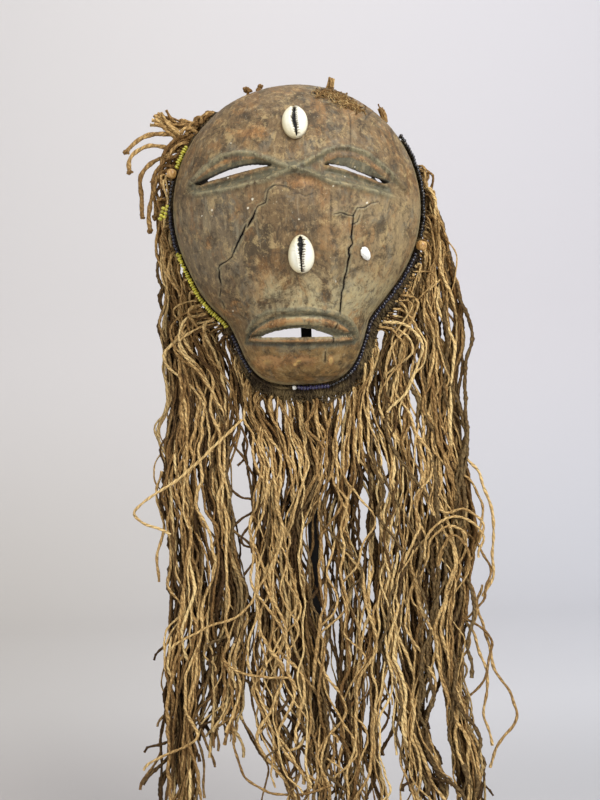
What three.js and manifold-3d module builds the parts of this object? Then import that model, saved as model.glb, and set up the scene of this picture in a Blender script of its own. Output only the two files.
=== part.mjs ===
// A gourd mask with carved eyes and lips, a beaded rim and a long fringe of twisted fibre cords,
// held upright on a square rod with a plate foot. Millimetres, +Z up, the face looks along -Y.
// The origin is the centre of the plate's underside. The rim of the gourd lies in the plane y = 0.
import * as THREE from "three";
import { mergeVertices } from "three/addons/utils/BufferGeometryUtils.js";
import Module from "manifold-3d";

const wasm = await Module();
wasm.setup();

// Gourd: a round bulb that runs into a narrower chin, shallower than a full half round.
const BULB_CENTRE_X = -4;
const BULB_CENTRE_Z = 533;
const BULB_RADIUS = 92.5;
const FACE_DEPTH = 65;
const CHIN_DROP = 93; // from the bulb's centre down to where the chin starts to round off
const CHIN_HEIGHT = 38.5; // from that level down to the chin's lower edge
const CHIN_HALF_WIDTH = 48.5; // at that level
const CHIN_TAPER = 0.3; // half-width lost for each millimetre down
const CHIN_ROUNDNESS = 3.5; // power of the chin's rounded square outline
const CHEEK_BLEND = 17; // how far the bulb and the chin melt together
const JOWL_SWELL = 5; // the left cheek is fuller than the right one
const JOWL_DROP = 70;
const JOWL_SPAN = 19;
const WALL = 5;
const SECTORS = 56;
const OUTER_RINGS = 9;
const INNER_RINGS = 6;

// Carving: depths from the face of the gourd.
const SOCKET_DEPTH = 3.4;
const LID_DEPTH = 0.9;
const LID_SCALE = 0.84;
const LIP_RISE = 3.2;
const LIP_GROOVE = 1.6;
const LIP_GROOVE_WIDTH = 2.4;
const CRACK_DEPTH = 3;
const GAP = 0.3; // clearance between pieces that touch

// Eyes: corners, and how far the upper and lower edges bow out, in the plane of the rim (x, z).
const EYES = [
  {
    socket: { from: [-86, 543], to: [-14, 555], up: 13.5, down: 6 },
    slit: { from: [-74.5, 547.5], to: [-24, 557], up: 2.4, down: 1.2 },
  },
  {
    socket: { from: [1, 552], to: [75, 536.5], up: 19.5, down: 5 },
    slit: { from: [20.5, 556.5], to: [57, 545], up: 2.6, down: 1.2 },
  },
];
const LIPS = { from: [-43.5, 436], to: [35, 432], up: 18.5, down: 4.2 };
const MOUTH = { from: [-33.5, 436.5], to: [19.5, 434.6], up: 5.6, down: 0.4 };
const SLIT_BEVEL = 3; // the upper wall of each slit slopes back from this much higher
const SLIT_BEVEL_DEPTH = 3.2;
const LEFT_CRACK = [[-19.5, 541], [-26.5, 531], [-33, 525], [-38.8, 517], [-49, 497], [-61.5, 490],
  [-60.5, 475]];
const RIGHT_CRACK = [[44, 525.5], [34.5, 517], [33.5, 508.5], [31, 487], [25.5, 463], [24, 451]];
const CRACK_WIDTH = 2.2;

// Shells and chips set on the face: place on the face, length, width, thickness, lean in degrees.
const COWRIES = [
  { name: "forehead_cowrie", at: [-3.4, 585.5], length: 27, width: 18.4, thick: 7.5, lean: 2, taper: 0.03 },
  { name: "nose_cowrie", at: [-2.2, 492.3], length: 25.6, width: 18.4, thick: 7.5, lean: 1, taper: -0.12 },
];
const CHIP = { at: [43.3, 492.3], length: 11, width: 7, thick: 2.4, lean: 35, taper: 0.1 };
const APERTURE_WIDTH = 2.6;
const APERTURE_DEPTH = 2.6;

// Band behind the rim: a knotted strip that the cords hang from. Angles run clockwise from the top.
const BAND_START = 60;
const BAND_END = 323;
const BAND_INSIDE = 5;
const BAND_SIDE_REACH = 3.2; // how far it stands out past the rim at the temples
const BAND_CHIN_REACH = 11;
const BAND_CHIN_ANGLE = 163;
const BAND_CHIN_SPAN = 46;
const BAND_THICK = 6;
const BAND_STEPS = 52;
const BAND_LOOP = 0.6; // its edge is scalloped where the cords are looped on

// Bead string: one run a colour, from angle to angle along the rim.
const BEAD_RADIUS = 1.5;
const BEAD_STANDOFF = 2.5;
const BEAD_RUNS = [
  { name: "beads_yellow_temple", from: 291, to: 301, colour: 0xd8cc38 },
  { name: "beads_black_left", from: 272.5, to: 284, colour: 0x2a2a34 },
  { name: "beads_blue_left", from: 252, to: 271, colour: 0x3a3c5a },
  { name: "beads_yellow_cheek", from: 213, to: 251, colour: 0xd8cc38 },
  { name: "beads_blue_jaw_left", from: 198, to: 208.8, colour: 0x3a3c5a },
  { name: "rim_cord_chin", from: 184.3, to: 197.5, colour: 0x30291f },
  { name: "beads_violet_chin", from: 172, to: 181.3, colour: 0x4a4672 },
  { name: "beads_black_chin", from: 164, to: 171.3, colour: 0x2a2a34 },
  { name: "beads_blue_jaw_right", from: 153, to: 163.3, colour: 0x3a3c5a },
  { name: "beads_blue_right", from: 113, to: 151.5, colour: 0x33344c },
  { name: "beads_black_right", from: 57, to: 104, colour: 0x2a2a34 },
];
const WHITE_BEAD_ANGLE = 182.8;
const WHITE_BEAD_RADIUS = 1.7;
const TIE_KNOT_ANGLE = 211.2;
const TIE_KNOT_RADIUS = 2.8;
const TASSEL_PATH = [[-107.2, -1.5, 538], [-106, -2.5, 533.5], [-103.6, -3.2, 529]];
const TASSEL_RADIUS = 2.4;
const WOODEN_BEADS = [
  { name: "wooden_bead_left", angle: 287.5, radius: 3.9 },
  { name: "wooden_bead_right", angle: 108.6, radius: 4.1 },
];

// Fringe: six masses of cords, each cut into locks that hang like a curtain from their stretch of the
// band (roots, by angle). Left and right edges (x) are given at LEVELS (z), and above them row by row.
const LEVELS = [392, 340, 290, 240, 190, 140, 90];
const LOCK_GAP = 0.5;
const LOCK_SIDES = 10;
const LOCK_STEP = 38;
const LOCK_GROOVE = 0.2; // depth of the grooves between the cords of a lock
const LOCK_SWAY = 0.05;
const LOCK_BAND_GAP = 0.5;
const LOCK_END_DRAW = 4; // the edges draw in by this much at the lower end
const ROOT_DEPTH = 7; // behind the band, where the cords are knotted on
const ROOT_INSET = 3.5;
const ROOT_GAP = 1; // degrees between the roots of two locks
const ROOT_DROP = 9; // the first level section lies this far under the root
const RELEASE_LEVEL = 386; // below it the locks swing forward from behind the band
const RELEASE_FALL = 60;
const MASSES = [
  {
    name: "fringe_left", roots: [286, 264, 243], end: 44, depth: 20, front: -8, behind: 13,
    above: [[540, -107, -101], [520, -108, -99.5], [490, -107, -92.5], [460, -105, -84], [430, -104, -80]],
    left: [-102.6, -108.9, -105.4, -103.4, -111.1, -115.9, -117.6],
    right: [-78.5, -83.3, -78.2, -76.3, -84, -89.5, -89],
  },
  {
    name: "fringe_left_inner", roots: [242, 226, 210], end: 122, depth: 20, front: -7, behind: 13,
    above: [[480, -90, -85], [460, -83, -65], [430, -79, -56]],
    left: [-77.5, -82.3, -77.2, -75.3, -83, -88.5, -88],
    right: [-53, -60.9, -58.1, -50.2, -56.4, -66.4, -70],
  },
  {
    name: "fringe_centre", roots: [209, 193, 183, 174.5], end: 70, depth: 15, front: -6, behind: 8.6,
    above: [[410, -49, 8.2]],
    left: [-50.5, -44.4, -43.9, -43.4, -51.9, -46.9, -28.4],
    right: [8.4, 15.6, -5.6, -5.9, -1.6, 1.9, 3.9],
  },
  {
    name: "fringe_centre_right", roots: [173.5, 161, 150], end: 30, depth: 15, front: -6, behind: 8.6,
    above: [[410, 9, 43]],
    left: [9.2, 19.4, 14.7, 12.9, 14.2, 16.9, 11.4],
    right: [44, 51.6, 56.7, 54.1, 44.9, 38.6, 41.4],
  },
  {
    name: "fringe_right_inner", roots: [149, 131, 114], end: 52, depth: 22, front: -8, behind: 14,
    above: [[486, 82, 86], [460, 66, 81], [425, 50, 82]],
    left: [45, 55.4, 58.2, 57.1, 59.2, 61.9, 65.4],
    right: [83.4, 86.9, 88.2, 85.6, 83.2, 79.2, 87.9],
  },
  {
    name: "fringe_right", roots: [113, 95, 73], end: 24, depth: 22, front: -8, behind: 14,
    above: [[540, 94, 101], [520, 93, 104], [490, 86.5, 110.5], [462, 82.5, 113.4], [430, 84.6, 114.5]],
    left: [84.4, 88.4, 89.7, 87.9, 92.9, 99.4, 104.4],
    right: [110.5, 113, 117.5, 110.6, 106.7, 110.7, 117.9],
  },
];

// Single cords: the clump at the left temple and the strays that leave the fringe (x, y, z).
const CORD_RADIUS = 1.4;
const CORD_SIDES = 8;
const CORD_STEP = 8;
const TUFT_CORDS = [
  [[-84, 9, 588], [-93, 9, 592.5], [-103, 9, 594.5], [-112, 8, 594], [-121, 6, 590.5], [-128, 5, 585.5],
    [-132.5, 5, 581]],
  [[-86, 12.5, 581], [-97, 13, 584], [-107, 13, 586.5], [-116.5, 12, 586], [-123, 10.5, 580.5],
    [-127, 10, 574], [-128.5, 10, 567]],
  [[-89, 8.5, 574], [-99, 9.5, 577], [-108, 10, 577.5], [-115, 9, 573.5], [-119.5, 8, 566], [-121.5, 8, 556],
    [-122.5, 8, 546], [-123, 8, 533]],
  [[-91, 8.5, 567], [-100, 7.5, 567], [-106, 6, 562], [-110.5, 5, 552], [-115, 5, 541.5], [-116.5, 5, 531],
    [-115.5, 5, 521]],
  [[-92, 15, 574], [-102, 15.5, 572.5], [-110, 16, 568], [-114, 16, 560], [-113, 15.5, 551],
    [-110.5, 14, 542], [-111.5, 13, 533]],
];
const STRAY_CORDS = [
  {
    name: "stray_cord_left_loop",
    path: [[-50, -9, 377], [-68, -12, 361], [-84, -13.5, 347], [-100, -14, 334], [-115, -13, 324.5],
      [-126, -12, 316.5], [-131.5, -11, 310], [-126.5, -10, 303.5], [-115.5, -9.5, 298], [-108.5, -9, 293]],
  },
  {
    name: "stray_cord_left_end",
    path: [[-112.5, 6, 340], [-115.5, 5, 326], [-114.5, 4, 312], [-113, 3.5, 298], [-114.5, 3, 284],
      [-117, 3, 270], [-118.5, 3, 257]],
  },
  {
    name: "stray_cord_right_shoulder",
    path: [[115.5, -1, 349], [119.5, -1.5, 337], [124, -2, 325], [129.5, -2.5, 314], [134.5, -3, 304],
      [137.5, -3, 292], [137, -2.5, 279], [134.5, -2, 266], [132, -2, 252], [130, -2, 238]],
  },
  {
    name: "stray_cord_right_loop",
    path: [[126, 6, 246], [125.5, 5, 228], [126.5, 4, 210], [132, 3, 190], [140, 3, 173], [147.5, 3, 159],
      [150, 3, 148], [146, 3.5, 138.5], [137, 4, 130.5], [130.5, 4.5, 121], [126, 5, 108]],
  },
  {
    name: "stray_cord_right_inner",
    path: [[111, 3, 222], [115, 1, 211.5], [120.5, 0, 196.5], [126, 0, 180], [125, 0, 166.5],
      [122.5, 0.5, 154], [125.5, 1, 140.5], [125, 1, 126]],
  },
];
const CLUMP_PATH = [[-60, 11, 603], [-70, 11, 604], [-82, 11, 600.5], [-95, 11, 603.5], [-107, 10, 609]];
const CLUMP_WIDTHS = [6, 8, 9, 8.5, 6];

// Broken cord ends in the holes along the top of the rim: foot and tip (x, z), and width.
const STUBS = [
  { foot: [24.3, 621], tip: [25.5, 631], width: 3 },
  { foot: [62.6, 599.4], tip: [59.8, 607.5], width: 3.4 },
  { foot: [-38.3, 619.5], tip: [-38.5, 628], width: 4 },
  { foot: [-28.8, 623], tip: [-29, 627.5], width: 4 },
];
const PATCH = { from: [6, 611], to: [48, 592.5], up: 8, down: 3.5 };
const PATCH_THICK = 2.2;

// Stand: a square rod on a plate, with a short arm that carries the forehead from inside.
const ROD_SIZE = 8;
const ROD_Y = 20;
const ARM_Z = 572;
const PLATE_SIZE = 150;
const PLATE_THICK = 6;

const CORD = 0xa5824f;
const DARK_CORD = 0x5a4a36;
const BLACK_PAINT = 0x101010;
const YELLOW_GLASS = 0xd8cc38;

const radians = THREE.MathUtils.degToRad;
const FORWARD = new THREE.Vector3(0, -1, 0);
const model = new THREE.Group();

// Half the gourd's width at a height above the bulb's centre, on one side of its middle line.
function halfWidth(rise, side) {
  const jowl = side < 0 ? JOWL_SWELL * Math.exp(-(((rise + JOWL_DROP) / JOWL_SPAN) ** 2)) : 0;
  const bulb = Math.sqrt(Math.max(0, BULB_RADIUS ** 2 - rise ** 2));
  if (rise > -CHIN_DROP / 2) return bulb + jowl;
  const low = THREE.MathUtils.clamp((-rise - CHIN_DROP) / CHIN_HEIGHT, 0, 1);
  const rounding = (1 - low ** CHIN_ROUNDNESS) ** (1 / CHIN_ROUNDNESS);
  const chin = (CHIN_HALF_WIDTH + CHIN_TAPER * (rise + CHIN_DROP)) * rounding;
  const mix = Math.max(CHEEK_BLEND - Math.abs(bulb - chin), 0) / CHEEK_BLEND;
  return Math.max(bulb, chin) + (mix * mix * CHEEK_BLEND) / 4 + jowl;
}

// The gourd's outline in the rim plane: its radius about the bulb's centre, clockwise from the top.
function outlineRadius(angle) {
  let [near, far] = [BULB_RADIUS * 0.9, CHIN_DROP + CHIN_HEIGHT + 8];
  for (let step = 0; step < 30; step += 1) {
    const middle = (near + far) / 2;
    const [across, rise] = [middle * Math.sin(angle), middle * Math.cos(angle)];
    const inside = rise < BULB_RADIUS && rise > -CHIN_DROP - CHIN_HEIGHT;
    if (inside && Math.abs(across) < halfWidth(rise, across)) near = middle;
    else far = middle;
  }
  return (near + far) / 2;
}

// y of the face, lifted by a few millimetres where offset is given. Level sections are half ellipses.
function faceY(x, z, offset = 0) {
  const spread = 1 + offset / BULB_RADIUS;
  const across = (x - BULB_CENTRE_X) / spread;
  const rise = (z - BULB_CENTRE_Z) / spread;
  const reach = rise > 0 ? BULB_RADIUS : CHIN_DROP + CHIN_HEIGHT;
  const middle = Math.sqrt(Math.max(0, 1 - (rise / reach) ** 2));
  const side = Math.sqrt(Math.max(0, 1 - (across / Math.max(halfWidth(rise, across), 1e-3)) ** 2));
  return -(FACE_DEPTH + offset) * middle * side;
}

function facePoint(x, z, offset = 0) {
  return new THREE.Vector3(x, faceY(x, z, offset), z);
}

function faceNormal(x, z) {
  const slopeX = (faceY(x + 1, z) - faceY(x - 1, z)) / 2;
  const slopeZ = (faceY(x, z + 1) - faceY(x, z - 1)) / 2;
  return new THREE.Vector3(slopeX, -1, slopeZ).normalize();
}

function rimPoint(angle, outward, y) {
  const turn = radians(angle);
  const reach = outlineRadius(turn) + outward;
  return new THREE.Vector3(BULB_CENTRE_X + reach * Math.sin(turn), y, BULB_CENTRE_Z + reach * Math.cos(turn));
}

function toSolid(geometry) {
  const bare = geometry.clone();
  for (const name of Object.keys(bare.attributes)) if (name !== "position") bare.deleteAttribute(name);
  const merged = mergeVertices(bare, 1e-4);
  const index = Array.from(merged.index.array);
  const spot = new THREE.Vector3();
  const corner = (at) => spot.clone().fromBufferAttribute(merged.attributes.position, index[at]);
  const faces = [];
  let volume = 0;
  for (let at = 0; at < index.length; at += 3) {
    const [a, b, c] = [index[at], index[at + 1], index[at + 2]];
    if (a === b || b === c || c === a) continue;
    volume += corner(at).dot(corner(at + 1).cross(corner(at + 2)));
    faces.push(a, b, c);
  }
  if (volume < 0) faces.reverse();
  return new wasm.Manifold(new wasm.Mesh({
    numProp: 3,
    vertProperties: new Float32Array(merged.attributes.position.array),
    triVerts: new Uint32Array(faces),
  }));
}

function toGeometry(solid) {
  const mesh = solid.getMesh();
  const geometry = new THREE.BufferGeometry();
  geometry.setAttribute("position", new THREE.BufferAttribute(new Float32Array(mesh.vertProperties), 3));
  geometry.setIndex(new THREE.BufferAttribute(new Uint32Array(mesh.triVerts), 1));
  geometry.computeVertexNormals();
  return geometry;
}

// A closed skin over rings of equally many points, with a fan on each end.
function loft(rings) {
  const sides = rings[0].length;
  const points = rings.flat();
  const index = [];
  for (let row = 0; row < rings.length - 1; row += 1) {
    for (let side = 0; side < sides; side += 1) {
      const a = row * sides + side;
      const b = row * sides + ((side + 1) % sides);
      index.push(a, b, b + sides, a, b + sides, a + sides);
    }
  }
  for (const [row, reverse] of [[0, true], [rings.length - 1, false]]) {
    const centre = rings[row].reduce((sum, point) => sum.add(point), new THREE.Vector3());
    centre.divideScalar(sides);
    points.push(centre);
    for (let side = 0; side < sides; side += 1) {
      const a = row * sides + side;
      const b = row * sides + ((side + 1) % sides);
      index.push(points.length - 1, ...(reverse ? [b, a] : [a, b]));
    }
  }
  return toSolid(new THREE.BufferGeometry().setFromPoints(points).setIndex(index));
}

// The half gourd as a turned form pulled out to the pear outline, closed at the back.
function dome(offset, back, rings) {
  const profile = [];
  for (let ring = 0; ring <= rings; ring += 1) {
    const angle = (ring / rings) * (Math.PI / 2);
    profile.push(new THREE.Vector2(Math.sin(angle), -1));
  }
  profile.push(new THREE.Vector2(1, back), new THREE.Vector2(0, back));
  const turned = new THREE.LatheGeometry(profile, SECTORS);
  const spots = turned.attributes.position;
  const spread = 1 + offset / BULB_RADIUS;
  for (let at = 0; at < spots.count; at += 1) {
    const share = Math.hypot(spots.getX(at), spots.getZ(at));
    const turn = Math.atan2(spots.getX(at), spots.getZ(at));
    const reach = share * outlineRadius(turn) * spread;
    const x = BULB_CENTRE_X + reach * Math.sin(turn);
    const z = BULB_CENTRE_Z + reach * Math.cos(turn);
    const y = share > 0.999 ? 0 : faceY(x, z, offset);
    spots.setXYZ(at, x, spots.getY(at) < 0 ? y : back, z);
  }
  return toSolid(turned);
}

// A leaf outline between two corners, as points in the rim plane.
function leaf({ from, to, up, down }, steps = 9) {
  const start = new THREE.Vector2(...from);
  const along = new THREE.Vector2(...to).sub(start);
  const normal = new THREE.Vector2(-along.y, along.x).normalize();
  const edge = (t, bow) => {
    const point = start.clone().addScaledVector(along, t);
    return point.addScaledVector(normal, bow * Math.sin(Math.PI * t));
  };
  const upper = Array.from({ length: steps }, (_, at) => edge(at / steps, up));
  const lower = Array.from({ length: steps }, (_, at) => edge(1 - at / steps, -down));
  return [...upper, ...lower];
}

function middleOf(outline) {
  const sum = outline.reduce((total, point) => total.add(point), new THREE.Vector2());
  return sum.divideScalar(outline.length);
}

// A bar along Y with the given outline, widened towards the viewer.
function taperedBar(outline, front, back, widen) {
  const middle = middleOf(outline);
  const ring = (y, scale) => outline.map((point) => {
    const spread = point.clone().sub(middle).multiplyScalar(scale).add(middle);
    return new THREE.Vector3(spread.x, y, spread.y);
  });
  return loft([ring(back, 1), ring(front, widen)]);
}

// A V-shaped groove along a crack, widest in the middle of its length.
function crack(path, width) {
  const curve = new THREE.CatmullRomCurve3(path.map(([x, z]) => new THREE.Vector3(x, 0, z)));
  const steps = path.length + 3;
  const rings = curve.getSpacedPoints(steps).map((point, at) => {
    const ahead = curve.getTangentAt(at / steps);
    const side = new THREE.Vector2(-ahead.z, ahead.x);
    const half = (width / 2) * (0.35 + 0.65 * Math.sin((Math.PI * at) / steps));
    return [
      facePoint(point.x + side.x * half, point.z + side.y * half, 1.5),
      facePoint(point.x - side.x * half, point.z - side.y * half, 1.5),
      facePoint(point.x, point.z, -CRACK_DEPTH * (0.45 + 0.55 * Math.sin((Math.PI * at) / steps))),
    ];
  });
  return loft(rings);
}

function addMesh(name, geometry, colour, roughness = 0.85, metalness = 0) {
  const material = new THREE.MeshStandardMaterial({ color: colour, roughness, metalness });
  const mesh = new THREE.Mesh(geometry, material);
  mesh.name = name;
  model.add(mesh);
  return mesh;
}

function gourdFace() {
  let face = dome(0, 0, OUTER_RINGS);
  const front = -FACE_DEPTH - 20;
  const cutSlit = (slit) => {
    const bevel = taperedBar(leaf({ ...slit, up: slit.up + SLIT_BEVEL }, 7), front, 0, 1);
    face = face.subtract(bevel.subtract(dome(-SLIT_BEVEL_DEPTH, 2, OUTER_RINGS)));
    face = face.subtract(taperedBar(leaf(slit, 7), front, 2, 1));
  };
  for (const { socket, slit } of EYES) {
    const outline = leaf(socket);
    const floor = dome(-SOCKET_DEPTH, 2, OUTER_RINGS);
    face = face.subtract(taperedBar(outline, front, 0, 1.06).subtract(floor));
    const middle = middleOf(outline);
    const lid = outline.map((point) => point.clone().sub(middle).multiplyScalar(LID_SCALE).add(middle));
    const lidTop = dome(-LID_DEPTH, 0, OUTER_RINGS);
    face = face.add(taperedBar(lid, front, 0, 0.82).intersect(lidTop));
    cutSlit(slit);
  }
  const lips = leaf(LIPS);
  const groove = lips.map((point) => {
    const shift = point.y > LIPS.from[1] ? LIP_GROOVE_WIDTH : -LIP_GROOVE_WIDTH;
    return new THREE.Vector2(point.x, point.y + shift);
  });
  face = face.subtract(taperedBar(groove, front, 0, 1).subtract(dome(-LIP_GROOVE, 2, OUTER_RINGS)));
  face = face.add(taperedBar(lips, front, 0, 0.86).intersect(dome(LIP_RISE, 0, OUTER_RINGS)));
  cutSlit(MOUTH);
  face = face.subtract(crack(LEFT_CRACK, CRACK_WIDTH));
  face = face.subtract(crack(RIGHT_CRACK, CRACK_WIDTH));
  return face.subtract(dome(-WALL, 2, INNER_RINGS));
}

// Sets a piece that was made lying on the plane y = 0 on the face of the gourd.
function setOnFace(mesh, [x, z], lean) {
  const normal = faceNormal(x, z);
  mesh.quaternion.setFromUnitVectors(FORWARD, normal);
  mesh.quaternion.multiply(new THREE.Quaternion().setFromAxisAngle(FORWARD, radians(lean)));
  mesh.position.copy(facePoint(x, z)).addScaledVector(normal, 2 * GAP);
}

// Half an egg with a flat back, wider at the top where taper is positive.
function halfEgg({ length, width, thick, taper }) {
  const ball = new THREE.SphereGeometry(1, 14, 8);
  const spots = ball.attributes.position;
  for (let at = 0; at < spots.count; at += 1) {
    const up = spots.getY(at);
    const egg = 1 + taper * up;
    const out = Math.max(spots.getZ(at), 0) ** 0.8;
    spots.setXYZ(at, spots.getX(at) * (width / 2) * egg, -out * thick, up * (length / 2));
  }
  return ball;
}

function cowrie(shape) {
  const shell = toSolid(halfEgg(shape));
  const reach = shape.length * 0.43;
  const opening = { from: [0, -reach], to: [0, reach], up: APERTURE_WIDTH / 2, down: APERTURE_WIDTH / 2 };
  const cutter = taperedBar(leaf(opening, 5), -shape.thick - 2, -shape.thick + APERTURE_DEPTH, 1.5);
  return toGeometry(shell.subtract(cutter));
}

// How far the band stands out past the rim: most of all under the chin.
function bandReach(angle) {
  const chin = Math.exp(-(((angle - BAND_CHIN_ANGLE) / BAND_CHIN_SPAN) ** 2));
  return THREE.MathUtils.lerp(BAND_SIDE_REACH, BAND_CHIN_REACH, chin);
}

function fringeBand() {
  const rings = [];
  for (let step = 0; step <= BAND_STEPS; step += 1) {
    const angle = THREE.MathUtils.lerp(BAND_START, BAND_END, step / BAND_STEPS);
    const reach = bandReach(angle) - BAND_LOOP * (step % 2);
    rings.push([
      rimPoint(angle, -BAND_INSIDE, GAP),
      rimPoint(angle, reach - 1, GAP),
      rimPoint(angle, reach, BAND_THICK * 0.5),
      rimPoint(angle, reach - 1, BAND_THICK),
      rimPoint(angle, -BAND_INSIDE, BAND_THICK),
    ]);
  }
  return loft(rings);
}

function roundSection(radius, sides) {
  const shape = new THREE.Shape();
  for (let side = 0; side < sides; side += 1) {
    const turn = (2 * Math.PI * (side + 0.5)) / sides;
    if (side === 0) shape.moveTo(radius * Math.cos(turn), radius * Math.sin(turn));
    else shape.lineTo(radius * Math.cos(turn), radius * Math.sin(turn));
  }
  shape.closePath();
  return shape;
}

function tube(points, radius, sides, stepLength) {
  const curve = new THREE.CatmullRomCurve3(points, false, "centripetal");
  const steps = Math.max(2, Math.round(curve.getLength() / stepLength));
  const section = roundSection(radius, sides);
  return new THREE.ExtrudeGeometry(section, { steps, extrudePath: curve, bevelEnabled: false });
}

function beadRun({ from, to }) {
  const count = Math.max(3, Math.round((to - from) / 3.2));
  const points = Array.from({ length: count + 1 }, (_, at) => {
    const angle = THREE.MathUtils.lerp(from, to, at / count);
    return rimPoint(angle, BEAD_STANDOFF, -BEAD_STANDOFF);
  });
  return tube(points, BEAD_RADIUS, 6, 9);
}

// Smooth value at a level, from rows of [level, value] in falling order.
function edgeAt(rows, level) {
  const points = rows.map(([z, x]) => new THREE.Vector3(x, 0, z));
  const curve = new THREE.CatmullRomCurve3(points, false, "centripetal");
  let [high, low] = [0, 1];
  for (let step = 0; step < 24; step += 1) {
    const middle = (high + low) / 2;
    if (curve.getPoint(middle).z > level) high = middle;
    else low = middle;
  }
  return curve.getPoint((high + low) / 2).x;
}

// The top ring of a lock, along its stretch of the band.
function rootRing(from, to) {
  return Array.from({ length: LOCK_SIDES }, (_, side) => {
    const turn = (2 * Math.PI * side) / LOCK_SIDES;
    const angle = THREE.MathUtils.lerp(from, to, (1 + Math.cos(turn)) / 2);
    const y = BAND_THICK + LOCK_BAND_GAP + (ROOT_DEPTH / 2) * (1 + Math.sin(turn));
    return rimPoint(angle, bandReach(angle) - ROOT_INSET, y);
  });
}

// One lock: its root, then a stack of grooved level sections between its share of the mass's edges.
// The levels are on one grid for all locks, so that neighbours' skins run side by side.
function lock(mass, at) {
  const last = LEVELS.length - 1;
  const rows = (column, edge, draw) => [
    ...mass.above.map((row) => [row[0], row[column]]),
    ...LEVELS.map((z, level) => [z, edge[level]]).filter(([z]) => z > mass.end + 12),
    [mass.end - 1, edge[last] + draw],
  ];
  const [leftEdge, rightEdge] = [rows(1, mass.left, LOCK_END_DRAW), rows(2, mass.right, -LOCK_END_DRAW)];
  const root = rootRing(mass.roots[at] - ROOT_GAP, mass.roots[at + 1] + ROOT_GAP);
  const top = Math.min(...root.map((point) => point.z)) - ROOT_DROP;
  const rings = [root];
  const stack = Math.floor((top - RELEASE_LEVEL) / LOCK_STEP);
  for (let z = RELEASE_LEVEL + stack * LOCK_STEP; z > mass.end + LOCK_STEP / 2; z -= LOCK_STEP) {
    rings.push(lockSection(mass, at, z, edgeAt(leftEdge, z), edgeAt(rightEdge, z)));
  }
  rings.push(lockSection(mass, at, mass.end, edgeAt(leftEdge, mass.end), edgeAt(rightEdge, mass.end)));
  return loft(rings);
}

function lockSection(mass, at, z, left, right) {
  const locks = mass.roots.length - 1;
  const sway = LOCK_SWAY * Math.sin(z / 31);
  const share = (line) => (line % locks === 0 ? line / locks : line / locks + sway);
  const from = THREE.MathUtils.lerp(left, right, share(at)) + LOCK_GAP / 2;
  const to = THREE.MathUtils.lerp(left, right, share(at + 1)) - LOCK_GAP / 2;
  const fall = THREE.MathUtils.smoothstep(RELEASE_LEVEL - z, 0, RELEASE_FALL);
  const ending = THREE.MathUtils.clamp((z - mass.end) / 60, 0.3, 1);
  const deep = THREE.MathUtils.lerp(mass.behind, mass.depth, fall) * ending;
  const swing = 1.5 * Math.sin(z / 47 + 2 * at) * fall;
  const front = THREE.MathUtils.lerp(BAND_THICK + LOCK_BAND_GAP, mass.front, fall);
  const middle = front + swing + deep / 2;
  const half = ((to - from) / 2) * (0.6 + 0.4 * ending);
  return Array.from({ length: LOCK_SIDES }, (_, side) => {
    const turn = (2 * Math.PI * side) / LOCK_SIDES;
    const lobe = 1 - LOCK_GROOVE * (side % 2);
    const x = (from + to) / 2 + half * Math.cos(turn) * lobe;
    return new THREE.Vector3(x, middle + (deep / 2) * Math.sin(turn) * lobe, z);
  });
}

function templeClump() {
  const curve = new THREE.CatmullRomCurve3(CLUMP_PATH.map((point) => new THREE.Vector3(...point)));
  const steps = 8;
  const rings = curve.getSpacedPoints(steps).map((point, at) => {
    const spot = (at / steps) * (CLUMP_WIDTHS.length - 1);
    const cell = Math.min(Math.floor(spot), CLUMP_WIDTHS.length - 2);
    const width = THREE.MathUtils.lerp(CLUMP_WIDTHS[cell], CLUMP_WIDTHS[cell + 1], spot - cell);
    const ahead = curve.getTangentAt(at / steps);
    const side = new THREE.Vector3(-ahead.z, 0, ahead.x).normalize();
    return Array.from({ length: 8 }, (_, corner) => {
      const turn = (2 * Math.PI * corner) / 8;
      const lobe = 1 - 0.16 * (corner % 2);
      return point.clone().addScaledVector(side, (width / 2) * Math.cos(turn) * lobe)
        .add(new THREE.Vector3(0, (width / 2) * 0.85 * Math.sin(turn) * lobe, 0));
    });
  });
  return loft(rings);
}

function stub({ foot, tip, width }) {
  const along = new THREE.Vector2(...tip).sub(new THREE.Vector2(...foot));
  const turn = Math.atan2(along.x, along.y);
  const ring = (share, radius) => Array.from({ length: 6 }, (_, side) => {
    const spin = (Math.PI * side) / 3;
    const across = radius * Math.cos(spin);
    const x = foot[0] + along.x * share + across * Math.cos(turn);
    const z = foot[1] + along.y * share - across * Math.sin(turn);
    return new THREE.Vector3(x, -8 + radius * Math.sin(spin), z);
  });
  const post = loft([ring(0, width * 0.5), ring(0.6, width * 0.42), ring(1, width * 0.62)]);
  return post.subtract(dome(GAP, 2, OUTER_RINGS));
}

function frayedPatch() {
  const pad = taperedBar(leaf(PATCH, 8), -FACE_DEPTH, -5, 1);
  return pad.intersect(dome(PATCH_THICK + GAP, 0, OUTER_RINGS)).subtract(dome(GAP, 2, OUTER_RINGS));
}

function standRod() {
  const [back, front] = [ROD_Y + ROD_SIZE / 2, ROD_Y - ROD_SIZE / 2];
  const tip = faceY(0, ARM_Z, -WALL) + 2.5 * GAP + 1.2;
  const shape = new THREE.Shape();
  shape.moveTo(back, PLATE_THICK + GAP);
  shape.lineTo(back, ARM_Z + ROD_SIZE / 2);
  shape.lineTo(tip, ARM_Z + ROD_SIZE / 2);
  shape.lineTo(tip, ARM_Z - ROD_SIZE / 2);
  shape.lineTo(front, ARM_Z - ROD_SIZE / 2);
  shape.lineTo(front, PLATE_THICK + GAP);
  shape.closePath();
  return new THREE.ExtrudeGeometry(shape, { depth: ROD_SIZE, bevelEnabled: false });
}

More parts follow.
